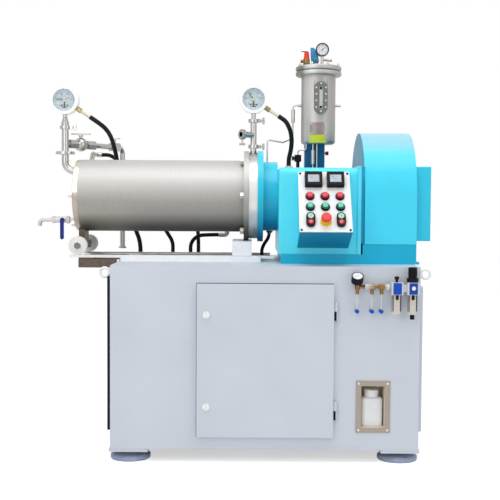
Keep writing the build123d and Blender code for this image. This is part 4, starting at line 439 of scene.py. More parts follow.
# The housing's front faces take a paler copy of its turquoise, painted light, and the post under the pot a
# dark blue, painted shade
dress("bearing_housing", "turquoise",
      ("turquoiseLit", lambda c, n: n.y < housing["frontFacing"]),
      ("postShadeBlue", {"y": (housing["postFront"], far), "z": (housing["postFoot"], far)}))
dress("seal_neck", "neckTurquoiseShaded",
      ("castSteel", roundAxis(shaftLine, neckRing["radius"], neckLow.x + neckRing["inset"],
                              neckHigh.x - neckRing["inset"], 0)))
dress("main_shaft", "boltSteel")
dress("shaft_pulley", "castSteel")
dress("drive_belts", "beltRubber")
dress("motor_housing", "motorBlue",
      ("castSteel", roundAxis(motor["axis"], motor["insideRadius"], -far, far, 0)))
dress("motor_rotor", "boltSteel",
      ("blackPlastic", {"x": (-far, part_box("motor_rotor")[0].x + motor["fan"])}))
dress("agitator_discs", "castSteel")
for name in ("bearing_outer_rings", "bearing_inner_rings", "separator_screen", "inner_barrel"):
    dress(name, "polishedSteel")

# Chamber on its rails
chamber = {"bosses": 0.143, "lugRight": -0.54, "coverLevel": 0.012, "shoeLeft": 0, "hub": 0.0105,
           "armRight": 0.02}
dress("cooling_jacket", "jacketSteelShaded",
      ("castSteel", {"y": (shaftLine.y + chamber["bosses"], far)},
       {"x": (-far, chamber["lugRight"]), "z": (shaftLine.z + chamber["bosses"], far)}))
dress("feed_ring", "ringSteel")
dress("end_cover", "coverSteel", ("coverShade", {"z": (-far, shaftLine.z + chamber["coverLevel"])}))
dress("chamber_bolts", "boltSteel")
dress("roller_bracket", "bracketBrown", ("whiteSteel", {"x": (chamber["shoeLeft"], far)}))
rollerLow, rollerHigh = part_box("rail_rollers")
dress("rail_rollers", "nylon",
      ("sightSteel", roundAxis((rollerLow + rollerHigh) / 2, chamber["hub"], -far, far, 1)))
dress("slide_rails", "whiteSteel", ("castSteel", {"y": (shaftLine.y, far)}))
dress("rail_brackets", "whiteSteel", ("bracketBrown", {"x": (-far, shellLow.x - chamber["armRight"])}))

# Outlet, drain and feed pipework with their contact gauges
gauge = {"hub": 0.006, "hubRadius": 0.0062, "hubDepth": 0.0085, "case": 0.057, "dial": 0.04399,
         "front": -0.030, "recess": 0.016, "depth": 0.055, "margin": 0.001, "glass": (0.0005, 0.0035),
         "glandAngle": -33, "nutStart": 0.053, "nutEnd": 0.0775, "nutRadius": 0.0105, "glandEnd": 0.1185,
         "glandRadius": 0.0085}
glandWay = Vector((cos(radians(gauge["glandAngle"])), 0, sin(radians(gauge["glandAngle"]))))


def gaugeCentre(pointerNode):
    low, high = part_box(pointerNode)
    return Vector((high.x - gauge["hub"], shaftLine.y, low.z + gauge["hub"]))


outletGauge = gaugeCentre("outlet_gauge_pointer")
feedGauge = gaugeCentre("feed_gauge_pointer")


def gaugeParts(centre):
    front = centre.y + gauge["front"]
    glassFront, glassBack = (front + away for away in gauge["glass"])

    def onGland(start, end, radius):
        def here(c, n):
            along = (c - centre).dot(glandWay)
            return start < along < end and ((c - centre) - glandWay * along).length < radius
        return here
    return [
        ("whiteEnamel", roundAxis(centre, gauge["case"], front - gauge["margin"],
                                  front + gauge["depth"] + gauge["margin"], 1)),
        ("brass", onGland(gauge["nutStart"], gauge["nutEnd"], gauge["nutRadius"])),
        ("cream", onGland(gauge["nutEnd"], far, gauge["glandRadius"])),
        ("gaugeGlass", roundAxis(centre, gauge["dial"], glassFront, glassBack, 1)),
    ]


dress("outlet_pipe", "polishedSteel", *gaugeParts(outletGauge))
dress("feed_port", "polishedSteel", *gaugeParts(feedGauge))
dress("outlet_valve_handle", "castSteel")
for pointer in ("outlet_gauge_pointer", "feed_gauge_pointer"):
    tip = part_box(pointer)[0].y
    dress(pointer, "dialInk", ("cream", roundAxis(gaugeCentre(pointer), gauge["hubRadius"],
                                                  tip - gauge["margin"], tip + gauge["hubDepth"], 1)))
dress("drain_valve", "potSteel")
dress("drain_lever", "navyLever")
dress("outlet_gauge_hose", "hoseRubber")

# Water hoses: black, with steel elbows and cream cups where they enter the deck and the housing
cupHeight = 0.0145
cupTop = shellHigh.z + cupHeight
hoseEnds = {"deckCups": {"z": (-far, cupTop)}, "housingCup": {"x": (0.215, far), "z": (-far, 1.0905)},
            "jacketElbow": {"x": (-0.15, -0.12), "z": (0.9052, far)}, "flangeElbow": {"x": (-0.0501, 0)},
            "neckElbow": {"x": (0.14, 0.185), "z": (0.812, 0.86)}}
dress("machine_hoses", "hoseRubber",
      ("cream", hoseEnds["deckCups"], hoseEnds["housingCup"]),
      ("castSteel", hoseEnds["jacketElbow"], hoseEnds["flangeElbow"]),
      ("boltSteel", hoseEnds["neckElbow"]))

# Seal pot and what stands on it
sight = {"x": potAxis.x + 0.005, "z": 1.363, "width": 0.055, "height": 0.130, "slot": 0.014,
         "slotHeight": 0.093, "front": potFace - 0.014, "back": potFace + 0.008,
         "glass": (potFace - 0.013, potFace + 0.002)}
sightBody = {"x": around(sight["x"], sight["width"]), "z": around(sight["z"], sight["height"])}
dress("seal_pot", "potSteelShaded",
      ("sightSteel", {**sightBody, "y": (-far, sight["back"])}),
      ("boltSteel", {**sightBody, "y": (-far, sight["front"] - hair)}),
      ("sightPale", {"x": around(sight["x"], sight["slot"]), "y": sight["glass"],
                     "z": around(sight["z"], sight["slotHeight"])}))
lidTop = potHigh.z
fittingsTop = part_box("pot_fittings")[1].z
potGauge = {"x": potAxis.x + 0.014, "z": fittingsTop - 0.027, "radius": 0.028, "half": 0.014,
            "dialAhead": 0.008}
safetyX = potAxis.x - 0.0495
safetyValve = {"body": {"x": (-far, safetyX + 0.0145), "z": (-far, lidTop + 0.0325)},
               "bonnet": {"x": (-far, safetyX + 0.013), "z": (lidTop + 0.0318, far)},
               "cap": {"x": (-far, safetyX + 0.02), "z": (lidTop + 0.0602, far)}}
leverLow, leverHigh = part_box("pot_valve_lever")
valveBall = {"centre": Vector(((leverLow.x + leverHigh.x) / 2, potAxis.y, lidTop + 0.026)), "radius": 0.0175}
dress("pot_fittings", "polishedSteel",
      ("fittingBronze", safetyValve["body"]),
      ("signalRed", safetyValve["bonnet"]),
      ("blackPlastic", safetyValve["cap"]),
      ("valveBlue", lambda c, n: (c - valveBall["centre"]).length < valveBall["radius"]),
      ("gaugeNavy", roundAxis((potGauge["x"], 0, potGauge["z"]), potGauge["radius"],
                              potAxis.y - potGauge["half"], potAxis.y + potGauge["half"], 1)))
dress("pot_valve_lever", "leverBlue")
flushValve = {"x": (0.255, 0.291), "y": (-far, 0.1), "z": (1.0745, 1.1365)}
dress("seal_pipework", "castSteel", ("blackPlastic", flushValve))
dress("flush_knob", "blackPlastic")
dress("red_knob", "knobRed")

# Control desk
desk = {"x": 0.3555, "width": 0.191, "top": (-0.232, 1.055), "bottom": (-0.382, 0.836), "plate": 0.003,
        "standing": 0.0031, "stop": (0.07, 0.12), "buttons": 0.217, "underFacing": -0.9}
lamps = {"columns": (0.0415, 0.096, 0.151), "rows": (0.112, 0.159), "reach": 0.0155,
         "lens": (0.0125, far), "top": (0.0186, 0.02)}
slantWay = Vector((0, desk["bottom"][0] - desk["top"][0], desk["bottom"][1] - desk["top"][1]))
deskSlant = slantWay.length
slantWay.normalize()
deskNormal = Vector((0, slantWay.z, -slantWay.y))
deskCorner = Vector((desk["x"] - desk["width"] / 2, *desk["top"]))


# Where a point lies on the desk: across from the left edge, down the slant, and out of the plate
def deskPlace(c):
    away = c - deskCorner
    return away.x, away.dot(slantWay), away.dot(deskNormal)


def onDesk(across, down, out=desk["plate"]):
    spot = deskCorner + Vector((across, 0, 0)) + slantWay * down + deskNormal * out
    turn = Matrix((Vector((1, 0, 0)), -slantWay, deskNormal)).transposed().to_4x4()
    return Matrix.Translation(spot) @ turn


def deskTest(test):
    return lambda c, n: test(*deskPlace(c))


# Holds on one row of lamps, between two heights above the desk
def lampTest(row, low, high):
    return deskTest(lambda across, down, out: abs(down - row) < lamps["reach"] and low < out < high)


stopLeft, stopRight = desk["stop"]
dress("control_desk", "turquoise", ("deskShade", lambda c, n: n.z < desk["underFacing"]))
dress("panel_plate", "panelWhite",
      ("blackPlastic", deskTest(lambda across, down, out: out > desk["standing"])),
      ("stopYellow", deskTest(lambda across, down, out: (out > desk["standing"]
                                                         and stopLeft < across < stopRight))))
redRow, greenRow = lamps["rows"]
# Each lens's flat top is paler: a painted highlight
dress("panel_indicators", "blackPlastic",
      ("lampRed", lampTest(redRow, *lamps["lens"])), ("lampGreen", lampTest(greenRow, *lamps["lens"])),
      ("lampRedHighlight", lampTest(redRow, *lamps["top"])), ("lampGreenHighlight", lampTest(greenRow, *lamps["top"])))
for side in ("left", "right"):
    dress(side + "_start_button", "buttonGreen")
    dress(side + "_stop_button", "buttonRed")
dress("estop_button", "stopRed")

# Air unit on the cabinet's front
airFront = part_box("air_preparation")[0].y
airTop, airBottom = 0.661, 0.617
blueFront, tubeFoot = shellLow.y - 0.0045, 0.5675
airBoxes = {
    "bodies": {"y": (airFront + 0.0049, far), "z": (airBottom - hair, airTop + hair)},
    "bowls": {"z": (airBottom - 0.0725, airBottom - 0.0003)},
    "unions": {"x": (0.492, 0.508), "z": (0.63, far)},
    "lastUnion": {"x": (0.5655, far), "z": (0.63, far)},
    "tubeNuts": {"x": (0.5, far), "z": (0.6178, 0.631)},
    "tubes": {"z": (0.5632, 0.6178)},
    "bulkheads": {"y": (-far, blueFront), "z": (-far, tubeFoot)},
    "sockets": {"y": (blueFront, shellLow.y + 0.001), "z": (-far, tubeFoot)},
    "gauge": {"x": (-far, 0.489), "z": (0.645, far)},
}
dress("air_preparation", "blackPlastic",
      ("airSilver", airBoxes["bodies"]),
      ("clearBowl", airBoxes["bowls"]))
dress("regulator_knob", "blackPlastic")
dress("air_manifold", "fittingBronze",
      ("airSilver", airBoxes["unions"], airBoxes["lastUnion"]),
      ("fittingBrown", airBoxes["tubeNuts"]),
      ("clearTube", airBoxes["tubes"]),
      ("airBlue", airBoxes["bulkheads"]),
      ("cabinetPaint", airBoxes["sockets"]),
      ("blackPlastic", airBoxes["gauge"]))
print("CAD nodes dressed")


# Modelling helpers. Each piece is made in edit mode from a primitive, then laid in place by its mesh.
edges = {"bevelSegments": 2, "bevelAngle": 35, "smoothAngle": 32, "cornerSegments": 5, "facingUp": 0.9}


def startPiece():
    if bpy.context.object and bpy.context.object.mode != "OBJECT":
        bpy.ops.object.mode_set(mode="OBJECT")
    bpy.ops.object.select_all(action="DESELECT")


def nameNew(name):
    piece = bpy.context.object
    bpy.ops.object.transform_apply(location=True, rotation=True, scale=True)
    piece.name = piece.data.name = name
    return piece


def selectNothing(kind):
    bpy.ops.object.mode_set(mode="EDIT")
    bpy.ops.mesh.select_mode(type=kind)
    bpy.ops.mesh.select_all(action="DESELECT")
    bpy.ops.object.mode_set(mode="OBJECT")


def editFaces(piece, test):
    selectNothing("FACE")
    for face in piece.data.polygons:
        face.select = test(face.center, face.normal)
    bpy.ops.object.mode_set(mode="EDIT")


def editEdges(piece, test):
    selectNothing("EDGE")
    for edge in piece.data.edges:
        a, b = (piece.data.vertices[v].co for v in edge.vertices)
        edge.select = test(a, b)
    bpy.ops.object.mode_set(mode="EDIT")


def finishEdit():
    bpy.ops.mesh.select_all(action="SELECT")
    bpy.ops.mesh.normals_make_consistent(inside=False)
    bpy.ops.object.mode_set(mode="OBJECT")


def roundEdges(piece, width):
    if width:
        bevel = piece.modifiers.new("edges", "BEVEL")
        bevel.width = width
        bevel.segments = edges["bevelSegments"]
        bevel.limit_method = "ANGLE"
        bevel.angle_limit = radians(edges["bevelAngle"])
        bpy.context.view_layer.objects.active = piece
        bpy.ops.object.modifier_apply(modifier="edges")
    piece.select_set(True)
    bpy.ops.object.shade_smooth_by_angle(angle=radians(edges["smoothAngle"]))


# A round piece on the XY plane: a cylinder, with its top extruded and resized by each step (rise, radius)
def roundPiece(name, radius, rise, steps=(), sides=48, edge=0.0):
    startPiece()
    bpy.ops.mesh.primitive_cylinder_add(vertices=sides, radius=radius, depth=rise, location=(0, 0, rise / 2))
    piece = nameNew(name)
    level, wide = rise, radius
    editFaces(piece, lambda c, n: n.z > edges["facingUp"])
    for lift, nextRadius in steps:
        bpy.ops.mesh.extrude_region_move(TRANSFORM_OT_translate={"value": (0, 0, lift)})
        level += lift
        share = nextRadius / wide
        if share != 1:
            bpy.ops.transform.resize(value=(share, share, 1), center_override=(0, 0, level))
        wide = nextRadius
    finishEdit()
    roundEdges(piece, edge)
    return piece


# A flat piece on the XY plane with rounded corners, and an optional sunk or raised field inside a border
def flatPiece(name, width, height, thick, corner=0.0, border=0.0, field=0.0, edge=0.0):
    startPiece()
    bpy.ops.mesh.primitive_cube_add(size=1, location=(0, 0, thick / 2), scale=(width, height, thick))
    piece = nameNew(name)
    if corner:
        editEdges(piece, lambda a, b: abs(a.z - b.z) > thick / 2)
        bpy.ops.mesh.bevel(offset=corner, segments=edges["cornerSegments"], affect="EDGES")
        finishEdit()
    if border:
        editFaces(piece, lambda c, n: n.z > edges["facingUp"])
        bpy.ops.mesh.inset(thickness=border, depth=0)
        bpy.ops.mesh.extrude_region_move(TRANSFORM_OT_translate={"value": (0, 0, field)})
        finishEdit()
    roundEdges(piece, edge)
    return piece


def lay(piece, place):
    piece.data.transform(place)
    piece.data.update()
    return piece


def moved(*place):
    return Matrix.Translation(place)


def turned(angle):
    return Matrix.Rotation(angle, 4, "Z")


# Stands a flat piece up to face the front
def facingFront(x, y, z):
    return moved(x, y, z) @ Matrix.Rotation(radians(90), 4, "X")


def facingAlong(point, way):
    return Matrix.Translation(point) @ Vector(way).to_track_quat("Z", "Y").to_matrix().to_4x4()


# Stands a flat piece upright at a spot, with its face turned to a level way
def standingAt(spot, way):
    turn = Matrix((Vector((-way.y, way.x, 0)), Vector((0, 0, 1)), way)).transposed().to_4x4()
    return Matrix.Translation(spot) @ turn


def joinPieces(name, pieces):
    startPiece()
    for piece in pieces:
        piece.select_set(True)
    bpy.context.view_layer.objects.active = pieces[0]
    bpy.ops.object.join()
    pieces[0].name = pieces[0].data.name = name
    return pieces[0]


def colourOnly(piece, finish):
    piece.data.materials.clear()
    piece.data.materials.append(skin[finish])


def wear(piece, finish, body="machine"):
    colourOnly(piece, finish)
    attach(piece, body)


# Copies a piece to each named place, each copy with its own mesh, and takes the first one away
def copyTo(piece, finish, places):
    for name, place in places:
        again = piece.copy()
        again.data = piece.data.copy()
        again.name = again.data.name = name
        bpy.context.scene.collection.objects.link(again)
        again.data.transform(place)
        wear(again, finish)
    bpy.data.objects.remove(piece)


# Scale marks and numbers of a round dial, flat on the XY plane with its zero at the lower left.
# Lengths of marks, digits and their circles are shares of the dial's radius.
dialMarks = {"rim": 0.0006, "long": (0.13, 0.0009), "short": (0.07, 0.0005), "thick": 0.0001, "zero": 225,
             "sweep": 270, "outer": 0.86, "digit": 0.19, "digitCircle": 0.6, "digitThick": 0.00005,
             "sides": 72}


def makeDial(name, look, place, body):
    radius = look["radius"]
    face = roundPiece(name, radius, look["thick"], ((0, radius - dialMarks["rim"]),), dialMarks["sides"])
    face.data.materials.append(skin[look["face"]])
    marks = []
    for step in range(look["marks"] + 1):
        long = step % look["every"] == 0
        share, width = dialMarks["long"] if long else dialMarks["short"]
        length = radius * share
        mark = flatPiece("mark", length, width, dialMarks["thick"])
        turn = radians(dialMarks["zero"] - dialMarks["sweep"] * step / look["marks"])
        reach = radius * dialMarks["outer"] - length / 2
        marks.append(lay(mark, turned(turn) @ moved(reach, 0, look["thick"])))
        if long and look["numbers"]:
            startPiece()
            bpy.ops.object.text_add(location=(0, 0, 0))
            digit = bpy.context.object
            digit.data.body = look["numbers"][step // look["every"]]
            digit.data.size = radius * dialMarks["digit"]
            digit.data.align_x = "CENTER"
            digit.data.align_y = "CENTER"
            digit.data.extrude = dialMarks["digitThick"]
            bpy.ops.object.convert(target="MESH")
            out = radius * dialMarks["digitCircle"]
            marks.append(lay(bpy.context.object, moved(out * cos(turn), out * sin(turn), look["thick"])))
    for mark in marks:
        colourOnly(mark, "dialInk")
    dial = joinPieces(name, [face, *marks])
    lay(dial, place)
    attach(dial, body)


# Contact gauges: the dial, and on it the contact mechanism under the pointer's hub
contactDial = {"radius": 0.0436, "thick": 0.00012, "marks": 50, "every": 10, "face": "dialFace",
               "numbers": ("0", "0.4", "0.8", "1.2", "1.6", "2")}
contactPlates = ({"wide": 0.0055, "tall": 0.024, "thick": 0.000148, "down": 0.016},
                 {"wide": 0.026, "tall": 0.003, "thick": 0.000106, "down": 0.019},
                 {"wide": 0.018, "tall": 0.0045, "thick": 0.000109, "down": 0.0275})
contactPost = {"radius": 0.003, "rise": 0.0002, "steps": ((0.00001, 0.002),), "sides": 20}
contacts = {"plateCorner": 0.001, "arms": ((150, 0.019), (32, 0.017)), "armWidth": 0.0011, "armThick": 0.0001,
            "armStart": 0.004, "posts": 0.0125, "postsDown": 0.0225, "dialAhead": 0.00002, "ahead": 0.00018}
for label, centre, body in (("outlet", outletGauge, "chamber"), ("feed", feedGauge, "machine")):
    recess = centre.y + gauge["front"] + gauge["recess"]
    dialPlace = facingFront(centre.x, recess - contacts["dialAhead"], centre.z)
    makeDial(label + "Dial", contactDial, dialPlace, body)
    arms = []
    for look in contactPlates:
        plate = flatPiece("plate", look["wide"], look["tall"], look["thick"], corner=contacts["plateCorner"])
        arms.append(lay(plate, moved(0, -look["down"], 0)))
    for angle, length in contacts["arms"]:
        arm = flatPiece("arm", length, contacts["armWidth"], contacts["armThick"])
        arms.append(lay(arm, turned(radians(angle)) @ moved(length / 2 + contacts["armStart"], 0, 0)))
    for side in (-1, 1):
        post = roundPiece("post", **contactPost)
        arms.append(lay(post, moved(side * contacts["posts"], -contacts["postsDown"], 0)))
    mechanism = joinPieces(label + "Contacts", arms)
    lay(mechanism, facingFront(centre.x, recess - contacts["ahead"], centre.z))
    wear(mechanism, "dialInk", body)
print("contact gauges done")

# Small gauges: on the pot, and on the air manifold
smallDial = {"radius": 0.0228, "thick": 0.0004, "marks": 20, "every": 5, "face": "dialWhite",
             "numbers": ("0", "4", "8", "12", "16")}
potDialY = potAxis.y - potGauge["dialAhead"]
potNeedle = {"width": 0.024, "height": 0.0011, "thick": 0.0005, "edge": 0.0001}
potHub = {"radius": 0.0026, "rise": 0.0008, "steps": ((0.0004, 0.0016),), "sides": 24}
potGlass = {"radius": 0.0226, "rise": 0.0008, "steps": ((0.0005, 0.018),), "sides": 64}
potLayers = {"dial": 0.0001, "needle": 0.0012, "glass": 0.0038, "needleAngle": 38, "needleOff": 0.004}


def onPotGauge(layer):
    return facingFront(potGauge["x"], potDialY - potLayers[layer], potGauge["z"])


makeDial("potDial", smallDial, onPotGauge("dial"), "machine")
needle = flatPiece("potNeedle", **potNeedle)
lay(needle, turned(radians(potLayers["needleAngle"])) @ moved(potLayers["needleOff"], 0, 0))
needle = joinPieces("potNeedle", [needle, roundPiece("potHub", **potHub)])
wear(lay(needle, onPotGauge("needle")), "dialInk")
glass = roundPiece("potGaugeGlass", **potGlass)
wear(lay(glass, onPotGauge("glass")), "gaugeGlass")

airGauge = {"foot": Vector((0.4665, airFront + 0.037, 0.662)), "way": Vector((0, -0.6, 0.8)), "length": 0.026,
            "needle": (0.018, 0.001, 0.0003), "needleAngle": 200, "needleOff": (0.003, 0, 0.0005)}
airDial = {"radius": 0.0178, "thick": 0.0003, "marks": 20, "every": 5, "face": "dialWhite", "numbers": ()}
airTurn = facingAlong(airGauge["foot"] + airGauge["way"] * airGauge["length"], airGauge["way"])
makeDial("airDial", airDial, airTurn, "machine")
airNeedle = flatPiece("airNeedle", *airGauge["needle"])
lay(airNeedle, airTurn @ turned(radians(airGauge["needleAngle"])) @ moved(*airGauge["needleOff"]))
wear(airNeedle, "dialInk")
print("small gauges done")

# Meters on the desk: a grey screen sunk inside a thin border, with a scale and a needle on it
meter = {"left": 0.056, "right": 0.137, "down": 0.042, "screen": (0.042, 0.034), "screenThick": 0.0006,
         "corner": 0.001, "border": 0.0016, "sunk": 0.0003,
         "screenOut": 0.0211, "scaleOut": 0.0216, "arcDown": 0.012, "arcRadius": 0.022, "ticks": 9,
         "firstTick": 130, "tickStep": 10, "tick": (0.0025, 0.0005, 0.0001),
         "needle": (0.021, 0.0006, 0.0001), "needleAngle": 122}


def onMeterArc(angle, out):
    return moved(0, -meter["arcDown"], 0) @ turned(radians(angle)) @ moved(out, 0, 0)


for label in ("left", "right"):
    across = meter[label]
    screen = flatPiece(label + "Screen", *meter["screen"], meter["screenThick"], corner=meter["corner"],
                       border=meter["border"], field=-meter["sunk"])
    wear(lay(screen, onDesk(across, meter["down"], meter["screenOut"])), "screenGrey")
    parts = []
    for step in range(meter["ticks"]):
        tick = flatPiece("tick", *meter["tick"])
        angle = meter["firstTick"] - meter["tickStep"] * step
        parts.append(lay(tick, onMeterArc(angle, meter["arcRadius"])))
    needle = flatPiece("needle", *meter["needle"])
    lay(needle, onMeterArc(meter["needleAngle"], meter["needle"][0] / 2))
    scale = joinPieces(label + "MeterScale", [*parts, needle])
    wear(lay(scale, onDesk(across, meter["down"], meter["scaleOut"])), "dialInk")

# Corner screws of the desk plate, button marks and lamp rims
screwEdge = 0.008
deskScrew = {"radius": 0.0042, "rise": 0.0016, "steps": ((0.0012, 0.0034), (0, 0.0019), (-0.0012, 0.0018)),
             "sides": 24}
screwSpots = [(across, down) for down in (screwEdge, deskSlant - screwEdge)
              for across in (screwEdge, desk["width"] - screwEdge)]
screwPlaces = [("deskScrew%d" % number, onDesk(*spot)) for number, spot in enumerate(screwSpots, 1)]
copyTo(roundPiece("deskScrew", **deskScrew), "blackPlastic", screwPlaces)
twin = {"out": 0.0175, "half": 0.0125, "ringWidth": 0.0013}
startMark = {"width": 0.0014, "height": 0.008, "thick": 0.0002, "corner": 0.0004}
stopMark = {"radius": 0.0046, "rise": 0.0002, "sides": 40}
for side, across in (("left", lamps["columns"][0]), ("right", lamps["columns"][2])):
    bar = flatPiece(side + "StartMark", **startMark)
    lay(bar, onDesk(across, desk["buttons"] - twin["half"], twin["out"]))
    wear(bar, "dialInk", side + "_start")
    ring = roundPiece(side + "StopMark", **stopMark)
    editFaces(ring, lambda c, n: abs(n.z) > edges["facingUp"])
    bpy.ops.mesh.inset(thickness=twin["ringWidth"], depth=0)
    bpy.ops.mesh.bridge_edge_loops()
    finishEdit()
    lay(ring, onDesk(across, desk["buttons"] + twin["half"], twin["out"]))
    wear(ring, "whiteEnamel", side + "_stop")
lampRim = {"radius": 0.0168, "rise": 0.0055, "steps": ((0.0012, 0.0162), (0, 0.0146), (-0.0012, 0.0145)),
           "sides": 56, "edge": 0.0002}
rimPlaces = [("lampRim%d%d" % (row, column), onDesk(across, down))
             for row, down in enumerate(lamps["rows"], 1)
             for column, across in enumerate(lamps["columns"], 1)]
copyTo(roundPiece("lampRim", **lampRim), "blackPlastic", rimPlaces)
print("desk done")

# Pot: bare nameplate with rivets, bare label, plugs in the sight glass and nuts round the lid
plates = {"x": 0.3550, "stand": 0.0004, "thick": 0.0008, "corner": 0.0015, "cuts": 16, "rivetEdge": 0.005,
          "rivetStand": 0.001, "nameplate": (1.2165, 1.2655, 0.070), "label": (1.1835, 1.2160, 0.073)}
rivet = {"radius": 0.0022, "rise": 0.0008, "steps": ((0.0007, 0.0012),), "sides": 20}


# A spot on the pot's round side: a turn from the plates' middle, at a distance from the axis
def roundPot(turn, out, z):
    return plates["x"] + out * sin(turn), potAxis.y - out * cos(turn), z


def wrappedPlate(name, low, high, width, finish):
    plate = flatPiece(name, width, high - low, plates["thick"], corner=plates["corner"])
    editEdges(plate, lambda a, b: abs(a.y - b.y) < hair and abs(a.x - b.x) > width / 2)
    bpy.ops.mesh.subdivide(number_cuts=plates["cuts"])
    finishEdit()
    radius = potRadius + plates["stand"]
    for corner in plate.data.vertices:
        across, up, out = corner.co
        corner.co = roundPot(across / radius, radius + out, (low + high) / 2 + up)
    wear(plate, finish)


low, high, width = plates["nameplate"]
wrappedPlate("potNameplate", low, high, width, "plateBrown")
rivetOut = potRadius + plates["rivetStand"]
rivetPlaces = []
for z in (low + plates["rivetEdge"], high - plates["rivetEdge"]):
    for side in (-1, 1):
        turn = side * (width / 2 - plates["rivetEdge"]) / potRadius
        spot = facingAlong(roundPot(turn, rivetOut, z), (sin(turn), -cos(turn), 0))
        rivetPlaces.append(("potRivet%d" % (len(rivetPlaces) + 1), spot))
copyTo(roundPiece("rivet", **rivet), "whiteSteel", rivetPlaces)
low, high, width = plates["label"]
wrappedPlate("potLabel", low, high, width, "labelLime")

plug = {"radius": 0.0048, "rise": 0.0022, "steps": ((0.0012, 0.0040), (0, 0.0028), (-0.0006, 0.0026)),
        "sides": 28}
plugs = {"y": potFace - 0.0079, "apart": 0.075}
plugPlaces = [("sightPlug%d" % number, facingFront(sight["x"], plugs["y"], z))
              for number, z in enumerate(around(sight["z"], plugs["apart"]), 1)]
copyTo(roundPiece("plug", **plug), "blackPlastic", plugPlaces)

lidNut = {"radius": 0.00625, "rise": 0.0075, "steps": ((0, 0.0044), (0.0032, 0.0044), (0.0008, 0.0036)),
          "sides": 6, "edge": 0.0004}
lidNuts = {"count": 8, "first": 22.5, "circle": 0.083}
nutPlaces = []
for number in range(lidNuts["count"]):
    turn = radians(lidNuts["first"] + 360 * number / lidNuts["count"])
    x, y = (lidNuts["circle"] * way for way in (cos(turn), sin(turn)))
    nutPlaces.append(("lidNut%d" % (number + 1), moved(potAxis.x + x, potAxis.y + y, lidTop)))
copyTo(roundPiece("lidNut", **lidNut), "boltSteel", nutPlaces)
print("pot done")

# Air unit: the filter's small dial, blue faces, bowl windows and guards, knob ribs
filterDial = {"radius": 0.0078, "thick": 0.0002, "marks": 10, "every": 5, "face": "dialWhite", "numbers": ()}
airUnit = {"lubricator": 0.6065, "regulator": 0.663, "middleY": airFront + 0.029, "faceY": airFront + 0.0049,
           "dialY": airFront - 0.00005, "dialDown": 0.020, "windowAhead": 0.0148, "windowDown": 0.0095,
           "guardTurns": (52, 80), "guardOut": 0.0154, "guardDown": 0.031}
airFace = {"width": 0.030, "height": 0.041, "thick": 0.0012, "corner": 0.003, "edge": 0.0004}
bowlWindow = {"width": 0.0105, "height": 0.017, "thick": 0.0022, "corner": 0.001, "edge": 0.0004}
bowlGuard = {"width": 0.0022, "height": 0.058, "thick": 0.0014, "corner": 0.0005}
dialPlace = facingFront(airUnit["regulator"], airUnit["dialY"], airTop - airUnit["dialDown"])
makeDial("filterDial", filterDial, dialPlace, "machine")
windowY, windowZ = airUnit["middleY"] - airUnit["windowAhead"], airBottom - airUnit["windowDown"]
for name in ("lubricator", "regulator"):
    x = airUnit[name]
    face = flatPiece(name + "Face", **airFace)
    wear(lay(face, facingFront(x, airUnit["faceY"], (airTop + airBottom) / 2)), "airBlue")
    window = flatPiece(name + "Window", **bowlWindow)
    wear(lay(window, facingFront(x, windowY, windowZ)), "blackPlastic")
    bars = []
    for side in (-1, 1):
        for turn in airUnit["guardTurns"]:
            bar = flatPiece("guard", **bowlGuard)
            way = Vector((side * sin(radians(turn)), -cos(radians(turn)), 0))
            middle = Vector((x, airUnit["middleY"], airBottom - airUnit["guardDown"]))
            bars.append(lay(bar, standingAt(middle + way * airUnit["guardOut"], way)))
    wear(joinPieces(name + "Guards", bars), "greyPlastic")

knobLow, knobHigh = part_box("regulator_knob")
knob = {"centre": (knobLow + knobHigh) / 2, "radius": (knobHigh.x - knobLow.x) / 2, "ribs": 30,
        "ribSunk": 0.0004}
knobRib = {"width": 0.0014, "height": 0.026, "thick": 0.0008, "corner": 0.0003}
ribs = []
for step in range(knob["ribs"]):
    turn = 2 * pi * step / knob["ribs"]
    way = Vector((cos(turn), sin(turn), 0))
    spot = knob["centre"] + way * (knob["radius"] - knob["ribSunk"])
    ribs.append(lay(flatPiece("rib", **knobRib), standingAt(spot, way)))
wear(joinPieces("knobRibs", ribs), "blackPlastic", "regulator")
print("air unit done")

# A sheet band closes the slot between the housing and the guard, in darker turquoise as painted shade
band = {"gap": 0.0003, "inset": 0.012, "top": 1.074, "foot": bedHigh.z + 0.001, "thick": 0.004}
bandFront, bandBack = housingLow.y + band["inset"], housingHigh.y - band["inset"]
bandLeft, bandRight = housingHigh.x + band["gap"], guardLow.x - band["gap"]
middle = (bandLeft + bandRight) / 2
wide = bandRight - bandLeft
sides = []
for y in (bandFront + band["thick"], bandBack):
    side = flatPiece("bandSide", wide, band["top"] - band["foot"], band["thick"])
    sides.append(lay(side, facingFront(middle, y, (band["top"] + band["foot"]) / 2)))
roof = flatPiece("bandRoof", wide, bandBack - bandFront + 2 * band["thick"], band["thick"])
sides.append(lay(roof, moved(middle, (bandFront + bandBack) / 2, band["top"])))
wear(joinPieces("guardSeam", sides), "turquoiseShade")

# A thin dark strip shows round the door, on its left, under it and over it: a painted shadow line in the gap
door = {"left": -0.106, "right": 0.386, "low": 0.096, "high": 0.6495, "line": 0.0018, "gap": 0.0004,
        "thick": 0.0014}
reach = door["gap"] + door["line"] / 2
doorMiddle = ((door["left"] + door["right"]) / 2, (door["low"] + door["high"]) / 2)
strips = []
for wide, tall, x, z in ((door["line"], door["high"] - door["low"] + 2 * (door["gap"] + door["line"]),
                          door["left"] - reach, doorMiddle[1]),
                         (door["right"] - door["left"], door["line"], doorMiddle[0], door["low"] - reach),
                         (door["right"] - door["left"], door["line"], doorMiddle[0], door["high"] + reach)):
    strip = flatPiece("doorShadowLine", wide, tall, door["thick"])
    strips.append(lay(strip, facingFront(x, shellLow.y, z)))
wear(joinPieces("doorShadowLine", strips), "doorShadowDark")
print("seams done")

